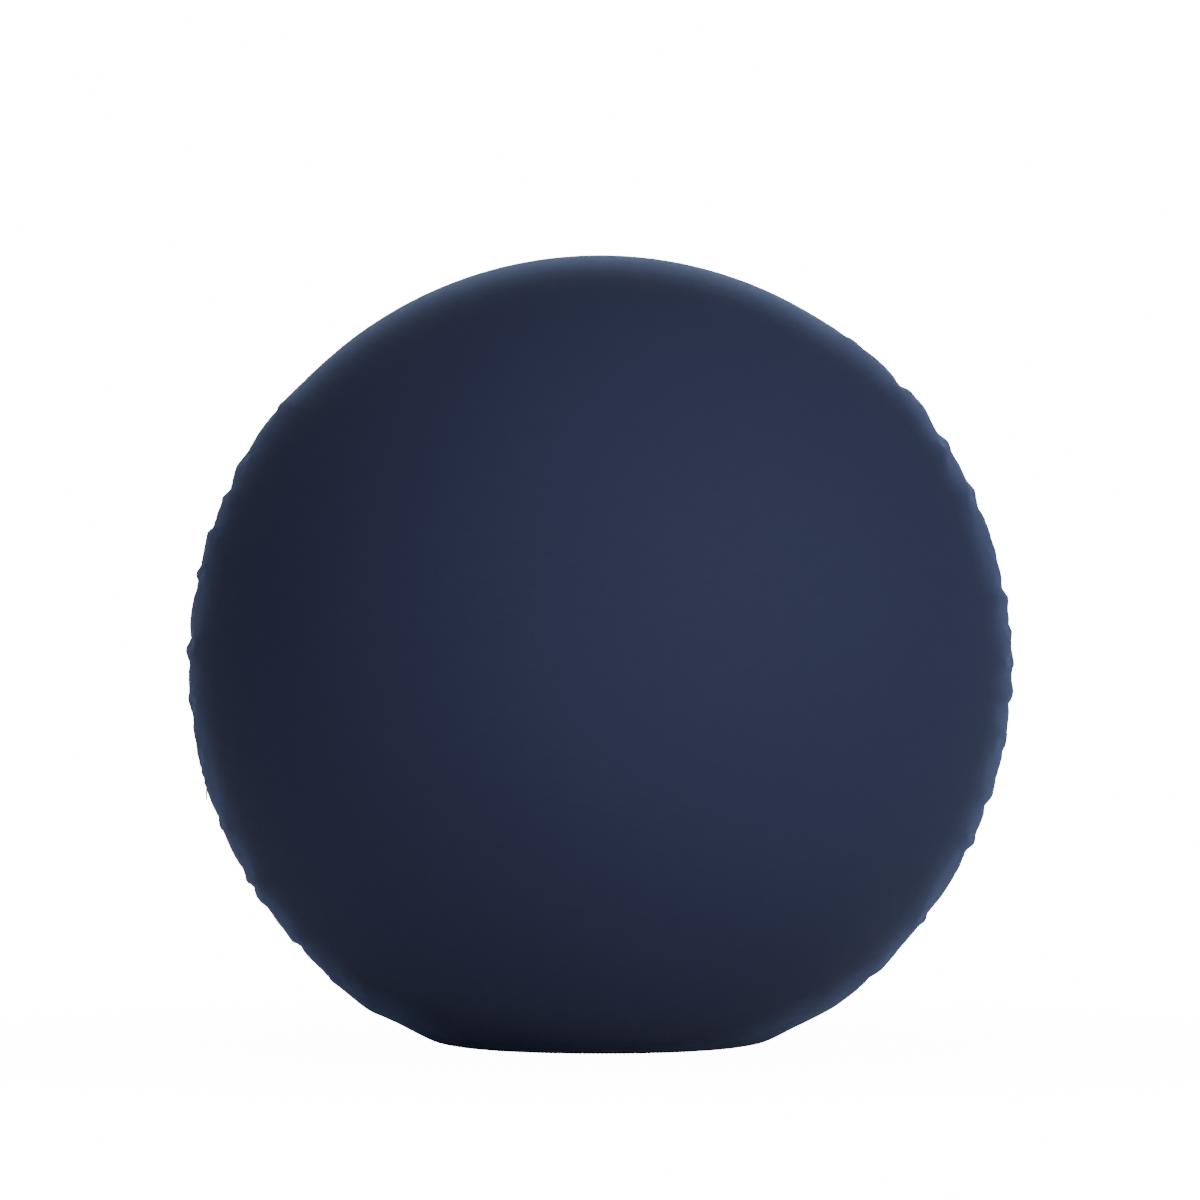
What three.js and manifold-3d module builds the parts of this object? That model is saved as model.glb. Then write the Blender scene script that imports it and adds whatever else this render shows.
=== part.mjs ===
// Ball seat: an inflated ball in a zipped stretch cover, standing on a flat, weighted base.
// Millimetres, +Z up. The origin is the centre of the base, on the floor, and the front is -Y.
// The cover is two half-ball panels that meet in one seam, in the plane y = 0.
import * as THREE from "three";
import { mergeVertices } from "three/addons/utils/BufferGeometryUtils.js";
import Module from "manifold-3d";

const DEGREE = Math.PI / 180;

// Overall sizes
const BALL_DIAMETER = 650; // over the cover
const BASE_DIAMETER = 250; // of the flat that the ball stands on

// Facets of the round pieces
const FACET = 7.5 * DEGREE; // of the ball, round its axis and from base to crown
const ZIP_FACET = 2.5 * DEGREE; // of the pieces that the slider runs along
const SMALL_SIDES = 24; // of the valve

// Gaps between pieces
const LAID_GAP = 0.3; // pieces that lie on each other
const SEAM_GAP = 0.3; // the two edges of a seam
const RUNNING_GAP = 0.35; // the slider and what it slides on

// Cover
const COVER_THICKNESS = 1.5;
const SEAM_BINDING_WIDTH = 16;
const SEAM_BINDING_THICKNESS = 1;
const BASE_PANEL_THICKNESS = 1.5;
const BASE_BINDING_WIDTH = 12;
const BASE_BINDING_THICKNESS = 1;

// Base
const PLATE_THICKNESS = 8;
const PLATE_SETBACK = 2; // of its edge, from the edge of the base panel
const PLATE_BEVEL = 2;
const RING_RIM = 12.5; // of the plate, left outside the ring
const RING_WIDTH = 48;
const RING_THICKNESS = 4;
const PAD_THICKNESS = 5;

// Bladder and valve
const BLADDER_WALL = 1;
const VALVE_ELEVATION = -37.5 * DEGREE;
const VALVE_BEHIND_SEAM = 15 * DEGREE;
const SEAT_NECK_DIAMETER = 16;
const SEAT_FLANGE_DIAMETER = 28;
const SEAT_FLANGE_THICKNESS = 1.5;
const SEAT_RISE = 0.5; // of the neck, above the bladder
const SEAT_DEPTH = 10; // of the neck, below the bladder's face
const PLUG_STEM_DIAMETER = 7.8;
const PLUG_HEAD_DIAMETER = 13;
const PLUG_HEAD_THICKNESS = 1.2;
const PLUG_STEM_LENGTH = 9;

// Zip
const ZIP_CLOSED_ELEVATION = -16.6 * DEGREE; // of the slider's middle, when the zip is shut
const ZIP_END_ABOVE_BASE = 33; // from the base edge up to the bottom stop
const SLOT_CLEARANCE = 0.5; // from the slider's nose to each folded edge of the cover
const ZIP_SLOT_BEYOND_STOPS = 7;
const TAPE_WIDTH = 12;
const TAPE_THICKNESS = 0.6;
const TAPE_EDGE = 0.9; // of each tape, from the middle of the zip
const TAPE_BEYOND_STOPS = 14;
const COIL_WIDTH = 1.7;
const COIL_HEIGHT = 1.6;
const COIL_CHAMFER = 0.4;
const COIL_SPACING = 1; // between the two coils, for the slider's post
const STOP_LENGTH = 2.2;
const STOP_WIDTH = 1.9;
const STOP_HEIGHT = 2.2;

// Slider and pull
const SLIDER_LENGTH = 10.5;
const SLIDER_FLANGE = 0.95; // the side walls that hold the coils, at the tail
const NOSE_FLARE = 0.5; // how much wider the nose is, on each side
const SLIDER_CORNER = 1.6;
const SLIDER_PLATE = 0.8;
const POST_WIDTH = 0.4;
const POST_LENGTH = 1.8;
const BAIL_WIDTH = 1.2;
const BAIL_LENGTH = 4.4;
const BAIL_LEG = 0.8;
const PULL_LENGTH = 12.5; // from its pivot
const PULL_ARM = 1.4; // beside the eye
const PULL_THICKNESS = 0.9;
const PULL_BAR = 0.9; // the bar that passes under the bail
const PULL_CLEARANCE = 0.25; // of the bar under the bail, and of the eye round its ends
const EYE_CLEARANCE = 0.5; // of the eye, on each side of the bail

// Worked out from the sizes above
const ballRadius = BALL_DIAMETER / 2;
const baseRadius = BASE_DIAMETER / 2;
const centreHeight = Math.sqrt(ballRadius ** 2 - baseRadius ** 2);
const baseElevation = -Math.asin(centreHeight / ballRadius);
const coverInside = ballRadius - COVER_THICKNESS;
const baseOpening = Math.sqrt(coverInside ** 2 - centreHeight ** 2);

// How far a faceted ball's face can lie inside its sphere, at this distance from the seam.
const dip = (fromSeam) =>
  ballRadius * (1 - Math.cos(FACET / 2)) + fromSeam * Math.tan(FACET / 2);

// Distances of the zip's layers from the ball's centre
const tapeOuter = coverInside - dip(TAPE_EDGE + TAPE_WIDTH) - LAID_GAP;
const tapeInner = tapeOuter - TAPE_THICKNESS;
const coilInner = tapeOuter + LAID_GAP;
const coilOuter = coilInner + COIL_HEIGHT;
const coilNear = COIL_SPACING / 2;
const sliderInnerFace = tapeInner - RUNNING_GAP;
const sliderInner = sliderInnerFace - SLIDER_PLATE;
const sliderOuterFace = coilOuter + RUNNING_GAP;
const sliderOuter = sliderOuterFace + SLIDER_PLATE;
const alongZip = (length) => length / coilOuter; // a length on the zip, as an angle
const coilRoom = coilNear + COIL_WIDTH + RUNNING_GAP;
const tailHalf = coilRoom + SLIDER_FLANGE;
const noseHalf = tailHalf + NOSE_FLARE;
const zipBottom = baseElevation + ZIP_END_ABOVE_BASE / ballRadius;
const topStopElevation =
  ZIP_CLOSED_ELEVATION + alongZip((SLIDER_LENGTH + STOP_LENGTH) / 2 + RUNNING_GAP);
const stopAngle = alongZip(STOP_LENGTH / 2 + LAID_GAP);
const tapeFrom = zipBottom - alongZip(TAPE_BEYOND_STOPS);
const tapeTo = topStopElevation + alongZip(TAPE_BEYOND_STOPS);

// The pull turns on its bar, whose corners need room under the bail.
const barReach = Math.hypot(PULL_BAR, PULL_THICKNESS) / 2;
const pivotHeight = barReach + PULL_CLEARANCE; // above the slider's face
const bailOpening = 2 * pivotHeight;
const pivotDrop = BAIL_LENGTH / 2 - BAIL_LEG - barReach - PULL_CLEARANCE; // below its middle

// Levels of the base's layers, from the floor up
const baseBindingFloor = BASE_PANEL_THICKNESS + LAID_GAP;
const plateFloor = baseBindingFloor + BASE_BINDING_THICKNESS + LAID_GAP;
const plateTop = plateFloor + PLATE_THICKNESS;
const padFloor = plateTop + LAID_GAP;
const bladderFloor = padFloor + PAD_THICKNESS + LAID_GAP;
const bladderRadius = sliderInner - LAID_GAP;
const basePanelRadius = baseOpening - LAID_GAP;
const plateRadius = basePanelRadius - PLATE_SETBACK;

const wasm = await Module();
wasm.setup();

// A closed geometry as a solid that can be joined and cut.
function solid(geometry) {
  const bare = geometry.clone();
  bare.deleteAttribute("normal");
  bare.deleteAttribute("uv");
  const merged = mergeVertices(bare, 1e-4);
  return new wasm.Manifold(
    new wasm.Mesh({
      numProp: 3,
      vertProperties: merged.attributes.position.array,
      triVerts: new Uint32Array(merged.index.array),
    }),
  );
}

function geometryOf(body) {
  const { vertProperties, triVerts } = body.getMesh();
  const indexed = new THREE.BufferGeometry();
  indexed.setAttribute("position", new THREE.BufferAttribute(vertProperties, 3));
  indexed.setIndex(new THREE.BufferAttribute(triVerts, 1));
  const faceted = indexed.toNonIndexed();
  faceted.computeVertexNormals();
  return faceted;
}

// A profile of [radius, height] points turned about the Z axis.
function turned(profile, sides) {
  const points = profile.map(([radius, height]) => new THREE.Vector2(radius, height));
  return new THREE.LatheGeometry(points, sides).rotateX(Math.PI / 2);
}

const turnedLikeBall = (profile) => turned(profile, Math.round((2 * Math.PI) / FACET));

// A ball about the cover's centre, cut flat at the floor height.
function ballSolid(radius, floor) {
  const lowest = -Math.asin((centreHeight - floor) / radius);
  const at = (elevation) => [
    radius * Math.cos(elevation),
    centreHeight + radius * Math.sin(elevation),
  ];
  const outline = [[0, centreHeight + radius]];
  for (let step = 1; Math.PI / 2 - step * FACET > lowest + FACET / 4; step += 1)
    outline.unshift(at(Math.PI / 2 - step * FACET));
  outline.unshift([0, floor], at(lowest));
  return solid(turnedLikeBall(outline));
}

const disc = (radius, floor, top) =>
  turnedLikeBall([[0, floor], [radius, floor], [radius, top], [0, top]]);

const ring = (inner, outer, floor, top) =>
  turnedLikeBall([[inner, floor], [outer, floor], [outer, top], [inner, top], [inner, floor]]);

function box(low, high) {
  const size = high.map((value, axis) => value - low[axis]);
  const middle = high.map((value, axis) => (value + low[axis]) / 2);
  return new THREE.BoxGeometry(...size).translate(...middle);
}

function polygon(points) {
  return new THREE.Shape(points.map(([x, y]) => new THREE.Vector2(x, y)));
}

const extruded = (shape, depth) =>
  new THREE.ExtrudeGeometry(shape, { depth, bevelEnabled: false, curveSegments: 4 });

// The line of the seam. Angle 0 is level on the left, and it grows over the crown to the right.
class SeamLine extends THREE.Curve {
  constructor(radius, from, to) {
    super();
    Object.assign(this, { radius, from, to });
  }

  getPoint(share, target = new THREE.Vector3()) {
    const angle = this.from + (this.to - this.from) * share;
    return target.set(
      -this.radius * Math.cos(angle),
      0,
      centreHeight + this.radius * Math.sin(angle),
    );
  }
}

// A section of [towards the front, in from the radius] points, run along the seam.
function alongSeam(section, radius, from, to, facet) {
  return new THREE.ExtrudeGeometry(polygon(section), {
    steps: Math.ceil((to - from) / facet - 1e-6),
    extrudePath: new SeamLine(radius, from, to),
    bevelEnabled: false,
  });
}

// A flat band between two distances from the ball's centre.
function bandAlongSeam(near, far, inner, outer, from, to, facet) {
  const depth = outer - inner;
  return alongSeam([[near, 0], [far, 0], [far, depth], [near, depth]], outer, from, to, facet);
}

// A group on the ball's left: +Z points out, +Y up the meridian, and +X to the front.
function onBall(elevation, radius, behindSeam = 0) {
  const [c, s] = [Math.cos(elevation), Math.sin(elevation)];
  const [cb, sb] = [Math.cos(behindSeam), Math.sin(behindSeam)];
  const out = new THREE.Vector3(-c * cb, c * sb, s);
  const up = new THREE.Vector3(s * cb, -s * sb, c);
  const group = new THREE.Group();
  const turn = new THREE.Matrix4().makeBasis(up.clone().cross(out), up, out);
  group.quaternion.setFromRotationMatrix(turn);
  group.position.set(0, 0, centreHeight).addScaledVector(out, radius);
  return group;
}

const finish = (color, roughness, metalness = 0) =>
  new THREE.MeshStandardMaterial({ color, roughness, metalness });

const knit = finish(0x2b3346, 0.85);
const tapeCloth = finish(0x232a3a, 0.8);
const antiSlip = finish(0x1a1d24, 0.9);
const coilPlastic = finish(0x222838, 0.45);
const nickel = finish(0xc4c6c9, 0.25, 1);
const vinyl = finish(0x8f949b, 0.5);
const plugPlastic = finish(0xe8e8e4, 0.4);
const platePlastic = finish(0x24262a, 0.7);
const steel = finish(0x9a9c9e, 0.4, 1);
const foam = finish(0x55585c, 0.95);

const seat = new THREE.Group();

function add(name, geometry, material, parent = seat) {
  const mesh = new THREE.Mesh(geometry, material);
  mesh.name = name;
  parent.add(mesh);
}

function addCover() {
  const clear = 1; // past the faces that a cut goes through
  const reach = ballRadius + clear;
  const shell = ballSolid(ballRadius, 0)
    .subtract(ballSolid(coverInside, 0))
    .subtract(solid(disc(baseOpening, -clear, clear)));
  const slotHalf = noseHalf + SLOT_CLEARANCE;
  const slotFrom = zipBottom - alongZip(ZIP_SLOT_BEYOND_STOPS);
  const slotTo = topStopElevation + alongZip(ZIP_SLOT_BEYOND_STOPS);
  const slot = solid(
    bandAlongSeam(-slotHalf, slotHalf, tapeOuter, reach, slotFrom, slotTo, FACET),
  );
  const panels = shell.subtract(slot);
  const front = box([-reach, -reach, -clear], [reach, -SEAM_GAP / 2, 2 * reach]);
  const back = box([-reach, SEAM_GAP / 2, -clear], [reach, reach, 2 * reach]);
  add("cover_front_panel", geometryOf(panels.intersect(solid(front))), knit);
  add("cover_back_panel", geometryOf(panels.intersect(solid(back))), knit);
}

function addSeamBinding() {
  const half = SEAM_BINDING_WIDTH / 2;
  const outer = coverInside - dip(half) - LAID_GAP;
  const from = Math.ceil(tapeTo / FACET) * FACET;
  const to = Math.PI + Math.floor(-baseElevation / FACET) * FACET;
  const binding = bandAlongSeam(
    -half, half, outer - SEAM_BINDING_THICKNESS, outer, from, to, FACET,
  );
  add("side_seam_binding", binding, tapeCloth);
}

function addBase() {
  const bindingTop = baseBindingFloor + BASE_BINDING_THICKNESS;
  const bindingInner = basePanelRadius - BASE_BINDING_WIDTH;
  const binding = ring(bindingInner, basePanelRadius, baseBindingFloor, bindingTop);
  add("base_panel", disc(basePanelRadius, 0, BASE_PANEL_THICKNESS), antiSlip);
  add("base_seam_binding", binding, tapeCloth);

  const ringFloor = plateTop - RING_THICKNESS;
  const ringOuter = plateRadius - RING_RIM;
  const ringInner = ringOuter - RING_WIDTH;
  const plate = solid(
    turnedLikeBall([
      [0, plateFloor],
      [plateRadius - PLATE_BEVEL, plateFloor],
      [plateRadius, plateFloor + PLATE_BEVEL],
      [plateRadius, plateTop - PLATE_BEVEL],
      [plateRadius - PLATE_BEVEL, plateTop],
      [0, plateTop],
    ]),
  );
  const groove = solid(
    ring(ringInner - LAID_GAP, ringOuter + LAID_GAP, ringFloor - LAID_GAP, plateTop + 1),
  );
  add("base_plate", geometryOf(plate.subtract(groove)), platePlastic);
  add("ballast_ring", ring(ringInner, ringOuter, ringFloor, plateTop), steel);
  add("plate_pad", disc(plateRadius, padFloor, padFloor + PAD_THICKNESS), foam);
}

function addBladder() {
  const seatPlace = onBall(VALVE_ELEVATION, bladderRadius, VALVE_BEHIND_SEAM);
  seat.add(seatPlace);
  seatPlace.updateMatrixWorld(true);

  const neckRadius = SEAT_NECK_DIAMETER / 2;
  const flangeRadius = SEAT_FLANGE_DIAMETER / 2;
  const boreRadius = PLUG_STEM_DIAMETER / 2 + LAID_GAP;
  const hole = turned(
    [
      [0, -SEAT_DEPTH],
      [neckRadius + LAID_GAP, -SEAT_DEPTH],
      [neckRadius + LAID_GAP, SEAT_DEPTH],
      [0, SEAT_DEPTH],
    ],
    SMALL_SIDES,
  ).applyMatrix4(seatPlace.matrixWorld);
  const bladder = ballSolid(bladderRadius, bladderFloor)
    .subtract(ballSolid(bladderRadius - BLADDER_WALL, bladderFloor + BLADDER_WALL))
    .subtract(solid(hole));
  add("bladder", geometryOf(bladder), vinyl);

  const flangeTop = -BLADDER_WALL - LAID_GAP - dip(flangeRadius);
  const flangeBottom = flangeTop - SEAT_FLANGE_THICKNESS;
  const seatBody = turned(
    [
      [boreRadius, -SEAT_DEPTH],
      [neckRadius, -SEAT_DEPTH],
      [neckRadius, flangeBottom],
      [flangeRadius, flangeBottom],
      [flangeRadius, flangeTop],
      [neckRadius, flangeTop],
      [neckRadius, SEAT_RISE],
      [boreRadius, SEAT_RISE],
      [boreRadius, -SEAT_DEPTH],
    ],
    SMALL_SIDES,
  );
  add("valve_seat", seatBody, vinyl, seatPlace);

  const headFloor = SEAT_RISE + LAID_GAP;
  const stemRadius = PLUG_STEM_DIAMETER / 2;
  const headRadius = PLUG_HEAD_DIAMETER / 2;
  const plug = turned(
    [
      [0, headFloor - PLUG_STEM_LENGTH],
      [stemRadius, headFloor - PLUG_STEM_LENGTH],
      [stemRadius, headFloor],
      [headRadius, headFloor],
      [headRadius, headFloor + PLUG_HEAD_THICKNESS],
      [0, headFloor + PLUG_HEAD_THICKNESS],
    ],
    SMALL_SIDES,
  );
  add("valve_plug", plug, plugPlastic, seatPlace);
}

// The two sides of the zip, mirrored: side is 1 at the front and -1 at the back.
function addZipSide(name, side) {
  const mirrored = (points) =>
    side > 0 ? points : points.map(([x, y]) => [-x, y]).reverse();
  const coilFar = coilNear + COIL_WIDTH;
  const tapeSection = mirrored([
    [TAPE_EDGE, 0],
    [TAPE_EDGE + TAPE_WIDTH, 0],
    [TAPE_EDGE + TAPE_WIDTH, TAPE_THICKNESS],
    [TAPE_EDGE, TAPE_THICKNESS],
  ]);
  const tape = alongSeam(tapeSection, tapeOuter, tapeFrom, tapeTo, ZIP_FACET);
  add("zip_tape_" + name, tape, tapeCloth);

  const coilSection = mirrored([
    [coilNear + COIL_CHAMFER, 0],
    [coilFar - COIL_CHAMFER, 0],
    [coilFar, COIL_CHAMFER],
    [coilFar, COIL_HEIGHT - COIL_CHAMFER],
    [coilFar - COIL_CHAMFER, COIL_HEIGHT],
    [coilNear + COIL_CHAMFER, COIL_HEIGHT],
    [coilNear, COIL_HEIGHT - COIL_CHAMFER],
    [coilNear, COIL_CHAMFER],
  ]);
  const coilFrom = zipBottom + stopAngle;
  const coilTo = topStopElevation - stopAngle;
  const coil = alongSeam(coilSection, coilOuter, coilFrom, coilTo, ZIP_FACET);
  add("zip_coil_" + name, coil, coilPlastic);

  const place = onBall(topStopElevation, coilInner);
  seat.add(place);
  const near = Math.min(side * coilNear, side * (coilNear + STOP_WIDTH));
  const stop = box(
    [near, -STOP_LENGTH / 2, 0],
    [near + STOP_WIDTH, STOP_LENGTH / 2, STOP_HEIGHT],
  );
  add("zip_top_stop_" + name, stop, nickel, place);
}

function addBottomStop() {
  const place = onBall(zipBottom, coilInner);
  seat.add(place);
  const half = coilNear + STOP_WIDTH;
  const stop = box(
    [-half, -STOP_LENGTH / 2, 0],
    [half, STOP_LENGTH / 2, STOP_HEIGHT],
  );
  add("zip_bottom_stop", stop, nickel, place);
}

// The slider's plates in outline: the nose, where the coils part, is the wide end.
function sliderOutline() {
  const half = SLIDER_LENGTH / 2;
  return polygon([
    [-tailHalf + SLIDER_CORNER, -half],
    [tailHalf - SLIDER_CORNER, -half],
    [tailHalf, -half + SLIDER_CORNER],
    [noseHalf, half - SLIDER_CORNER],
    [noseHalf - SLIDER_CORNER, half],
    [-noseHalf + SLIDER_CORNER, half],
    [-noseHalf, half - SLIDER_CORNER],
    [-tailHalf, -half + SLIDER_CORNER],
  ]);
}

// The bail in outline, in the plane of the seam: [up the seam, out from the slider's face].
function bailOutline() {
  const half = BAIL_LENGTH / 2;
  const top = bailOpening + BAIL_LEG;
  const sunk = SLIDER_PLATE / 2;
  const outline = polygon([
    [-half, -sunk],
    [half, -sunk],
    [half, top - BAIL_LEG],
    [half - BAIL_LEG, top],
    [BAIL_LEG - half, top],
    [-half, top - BAIL_LEG],
  ]);
  const inner = half - BAIL_LEG;
  outline.holes.push(
    polygon([[-inner, 0], [-inner, bailOpening], [inner, bailOpening], [inner, 0]]),
  );
  return outline;
}

function addSlider() {
  const place = onBall(ZIP_CLOSED_ELEVATION, sliderInner);
  seat.add(place);
  const height = sliderOuter - sliderInner;
  const above = (radius) => radius - sliderInner;
  const [wide, long] = [2 * noseHalf, SLIDER_LENGTH];
  const channel = box(
    [-coilRoom, -long, above(sliderInnerFace)],
    [coilRoom, long, above(sliderOuterFace)],
  );
  const slit = box(
    [-wide, -long, above(sliderInnerFace)],
    [wide, long, above(tapeOuter) + RUNNING_GAP],
  );
  const postTop = long / 2 - SLIDER_CORNER;
  const post = box(
    [-POST_WIDTH / 2, postTop - POST_LENGTH, SLIDER_PLATE / 2],
    [POST_WIDTH / 2, postTop, height - SLIDER_PLATE / 2],
  );
  const bail = extruded(bailOutline(), BAIL_WIDTH)
    .applyMatrix4(
      new THREE.Matrix4().makeBasis(
        new THREE.Vector3(0, 1, 0),
        new THREE.Vector3(0, 0, 1),
        new THREE.Vector3(1, 0, 0),
      ),
    )
    .translate(-BAIL_WIDTH / 2, 0, height);
  const slider = solid(extruded(sliderOutline(), height))
    .subtract(solid(channel))
    .subtract(solid(slit))
    .add(solid(post))
    .add(solid(bail));
  add("zip_slider", geometryOf(slider), nickel, place);
  return place;
}

// The pull hangs plumb from the slider's bail, clear of the ball.
function addPull(sliderPlace) {
  const pivot = new THREE.Vector3(0, -pivotDrop, sliderOuter - sliderInner + pivotHeight);
  sliderPlace.updateMatrixWorld(true);
  const place = onBall(0, 0);
  place.position.copy(pivot.applyMatrix4(sliderPlace.matrixWorld));
  seat.add(place);

  const eyeHalf = BAIL_WIDTH / 2 + EYE_CLEARANCE;
  const eyeEnd = BAIL_LENGTH / 2 + pivotDrop + PULL_CLEARANCE;
  const half = eyeHalf + PULL_ARM;
  const barHalf = PULL_BAR / 2;
  const outline = new THREE.Shape();
  outline.moveTo(half, barHalf);
  outline.lineTo(-half, barHalf);
  outline.lineTo(-half, half - PULL_LENGTH);
  outline.absarc(0, half - PULL_LENGTH, half, Math.PI, 2 * Math.PI, false);
  outline.closePath();
  outline.holes.push(
    polygon([
      [-eyeHalf, -barHalf],
      [eyeHalf, -barHalf],
      [eyeHalf, -eyeEnd],
      [-eyeHalf, -eyeEnd],
    ]),
  );
  const pull = extruded(outline, PULL_THICKNESS).translate(0, 0, -PULL_THICKNESS / 2);
  add("zip_pull", pull, nickel, place);
}

addCover();
addSeamBinding();
addBase();
addBladder();
addZipSide("front", 1);
addZipSide("back", -1);
addBottomStop();
addPull(addSlider());

export default seat;
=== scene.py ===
"""A ball seat: an inflated ball in a gathered knit cover, on a weighted base, with a zip down one side."""

import functools
import math

import bmesh
import bpy
import numpy as np
from bpy.props import FloatProperty, FloatVectorProperty, IntProperty, PointerProperty
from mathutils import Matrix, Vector


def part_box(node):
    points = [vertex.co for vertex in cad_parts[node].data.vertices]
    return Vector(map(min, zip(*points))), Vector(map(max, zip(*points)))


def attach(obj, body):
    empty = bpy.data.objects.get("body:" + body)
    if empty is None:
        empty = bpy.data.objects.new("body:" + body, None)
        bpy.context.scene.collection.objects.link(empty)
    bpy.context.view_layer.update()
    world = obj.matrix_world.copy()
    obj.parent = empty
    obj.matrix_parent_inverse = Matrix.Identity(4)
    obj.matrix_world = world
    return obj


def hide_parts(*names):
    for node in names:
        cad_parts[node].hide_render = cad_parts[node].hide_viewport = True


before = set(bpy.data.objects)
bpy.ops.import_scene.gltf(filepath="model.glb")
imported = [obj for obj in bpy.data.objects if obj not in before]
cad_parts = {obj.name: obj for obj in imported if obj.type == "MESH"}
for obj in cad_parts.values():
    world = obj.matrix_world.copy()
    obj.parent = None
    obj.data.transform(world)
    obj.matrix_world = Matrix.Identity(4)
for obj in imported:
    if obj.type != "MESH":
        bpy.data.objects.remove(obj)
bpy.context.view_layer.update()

bl_info = {
    "name": "Ball seat",
    "version": (1, 0, 0),
    "blender": (4, 5, 0),
    "location": "View3D > Sidebar > Ball seat",
    "description": "Builds a ball seat with a gathered knit cover, a side zip and a weighted base",
    "category": "Object",
}

MM = 0.001


# ---------------------------------------------------------------- sizes read from the frame


def corners(node):
    """The corners of a CAD node as an array of points."""
    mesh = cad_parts[node].data
    flat = np.zeros(len(mesh.vertices) * 3)
    mesh.vertices.foreach_get("co", flat)
    return flat.reshape(-1, 3)


BALL_RADIUS = -corners("cover_front_panel")[:, 1].min()
CENTRE = round(corners("cover_front_panel")[:, 2].max() - BALL_RADIUS, 4)


def ring_of(node):
    """Radius from the ball's middle, angle on the seam's circle and y of a CAD node, each lowest to highest.

    The seam's circle is seen from the front: 0 degrees is on the right, 90 at the top.
    """
    points = corners(node)
    x, z = points[:, 0], points[:, 2] - CENTRE
    radius = np.linalg.norm(np.column_stack([x, points[:, 1], z]), axis=1)
    angle = np.degrees(np.arctan2(z, x)) % 360
    return tuple((values.min(), values.max()) for values in (radius, angle, points[:, 1]))


def slot_of(node):
    """Half width and the two end angles of the zip's slot in a cover panel."""
    points = corners(node)
    wide = np.abs(points[:, 1])
    off_seam, widest_slot, above_base, same_edge = 1 * MM, 8 * MM, 3 * MM, 0.01 * MM
    beside = (points[:, 0] < 0) & (wide > off_seam) & (wide < widest_slot) & (points[:, 2] > above_base)
    half = wide[beside].min()
    edge = points[beside & (wide < half + same_edge)]
    angle = np.degrees(np.arctan2(edge[:, 2] - CENTRE, edge[:, 0])) % 360
    return half, angle.min(), angle.max()


SLOT_HALF, SLOT_TOP, SLOT_BOTTOM = slot_of("cover_front_panel")
SEAM_GAP = 0.3 * MM
SETTLE = 0.02 * MM  # between a tape or cord and what it lies on
SEAM_HALF = SEAM_GAP / 2
SOLE_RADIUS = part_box("base_panel")[1].x
PANEL_EDGE_RADIUS = SOLE_RADIUS + SEAM_GAP
BINDING_TOP = ring_of("side_seam_binding")[0][1]
TAPE_RADII, TAPE_ANGLES, TAPE_YS = ring_of("zip_tape_back")
COIL_RADII, COIL_ANGLES, COIL_YS = ring_of("zip_coil_back")


# ---------------------------------------------------------------- settings


class SeatCoverSettings(bpy.types.PropertyGroup):
    """Sizes and colour of the cover and its side seam."""

    colour: FloatVectorProperty(
        name="Knit colour", description="Colour of the stretch knit", subtype="COLOR", size=3, min=0, max=1,
        default=(0.029, 0.0345, 0.0785))
    knit_pitch: FloatProperty(
        name="Knit pitch", description="Width of one column of knit loops", unit="LENGTH", default=1.1 * MM)
    thickness: FloatProperty(
        name="Cloth thickness", description="Thickness of the knit", unit="LENGTH", default=1.4 * MM)
    gather_height: FloatProperty(
        name="Gather height", description="Tallest gather above the ball", unit="LENGTH", default=3.6 * MM)
    spare_cloth: FloatProperty(
        name="Spare cloth", description="Share by which the panel edge is longer than its seam",
        default=0.06)
    seam_depth: FloatProperty(
        name="Seam depth", description="How far the seam sits below the cloth", unit="LENGTH",
        default=1.9 * MM)
    seam_shoulder: FloatProperty(
        name="Seam shoulder", description="Width of the rolled shoulder beside the seam", unit="LENGTH",
        default=5.0 * MM)
    base_fillet: FloatProperty(
        name="Base rounding", description="Radius where the cover turns under", unit="LENGTH",
        default=50 * MM)
    stitch_pitch: FloatProperty(
        name="Seam stitch pitch", description="Spacing of the stitches across the seam", unit="LENGTH",
        default=3.0 * MM)
    seed: IntProperty(name="Gather seed", description="Seed for the gathers' sizes", default=7)


class SeatZipSettings(bpy.types.PropertyGroup):
    """Sizes of the side zip."""

    loop_pitch: FloatProperty(
        name="Loop pitch", description="Spacing of the coil's loops on one side", unit="LENGTH",
        default=1.4 * MM)
    wire_radius: FloatProperty(
        name="Coil wire radius", description="Radius of the coil's plastic wire", unit="LENGTH",
        default=0.29 * MM)
    fold_depth: FloatProperty(
        name="Fold depth", description="How far the folded cover edge turns down to the tape",
        unit="LENGTH", default=2.6 * MM)
    fold_shoulder: FloatProperty(
        name="Fold shoulder", description="Width of the folded edge's rounding", unit="LENGTH",
        default=2.4 * MM)
    topstitch_inset: FloatProperty(
        name="Topstitch inset", description="Distance of the topstitching from the fold", unit="LENGTH",
        default=3.4 * MM)
    topstitch_pitch: FloatProperty(
        name="Topstitch pitch", description="Spacing of the topstitching", unit="LENGTH", default=3.2 * MM)
    thread_radius: FloatProperty(
        name="Thread radius", description="Radius of the sewing thread", unit="LENGTH", default=0.2 * MM)


class SeatBaseSettings(bpy.types.PropertyGroup):
    """Sizes of the base and its anti-slip dots."""

    dot_pitch: FloatProperty(
        name="Dot spacing", description="Spacing of the anti-slip dots", unit="LENGTH", default=7.5 * MM)
    dot_radius: FloatProperty(
        name="Dot radius", description="Radius of one anti-slip dot", unit="LENGTH", default=1.7 * MM)
    dot_height: FloatProperty(
        name="Dot height", description="How far a dot stands below the cloth", unit="LENGTH",
        default=0.45 * MM)
    colour: FloatVectorProperty(
        name="Base cloth colour", description="Colour of the base cloth", subtype="COLOR", size=3, min=0,
        max=1, default=(0.012, 0.014, 0.02))


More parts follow.
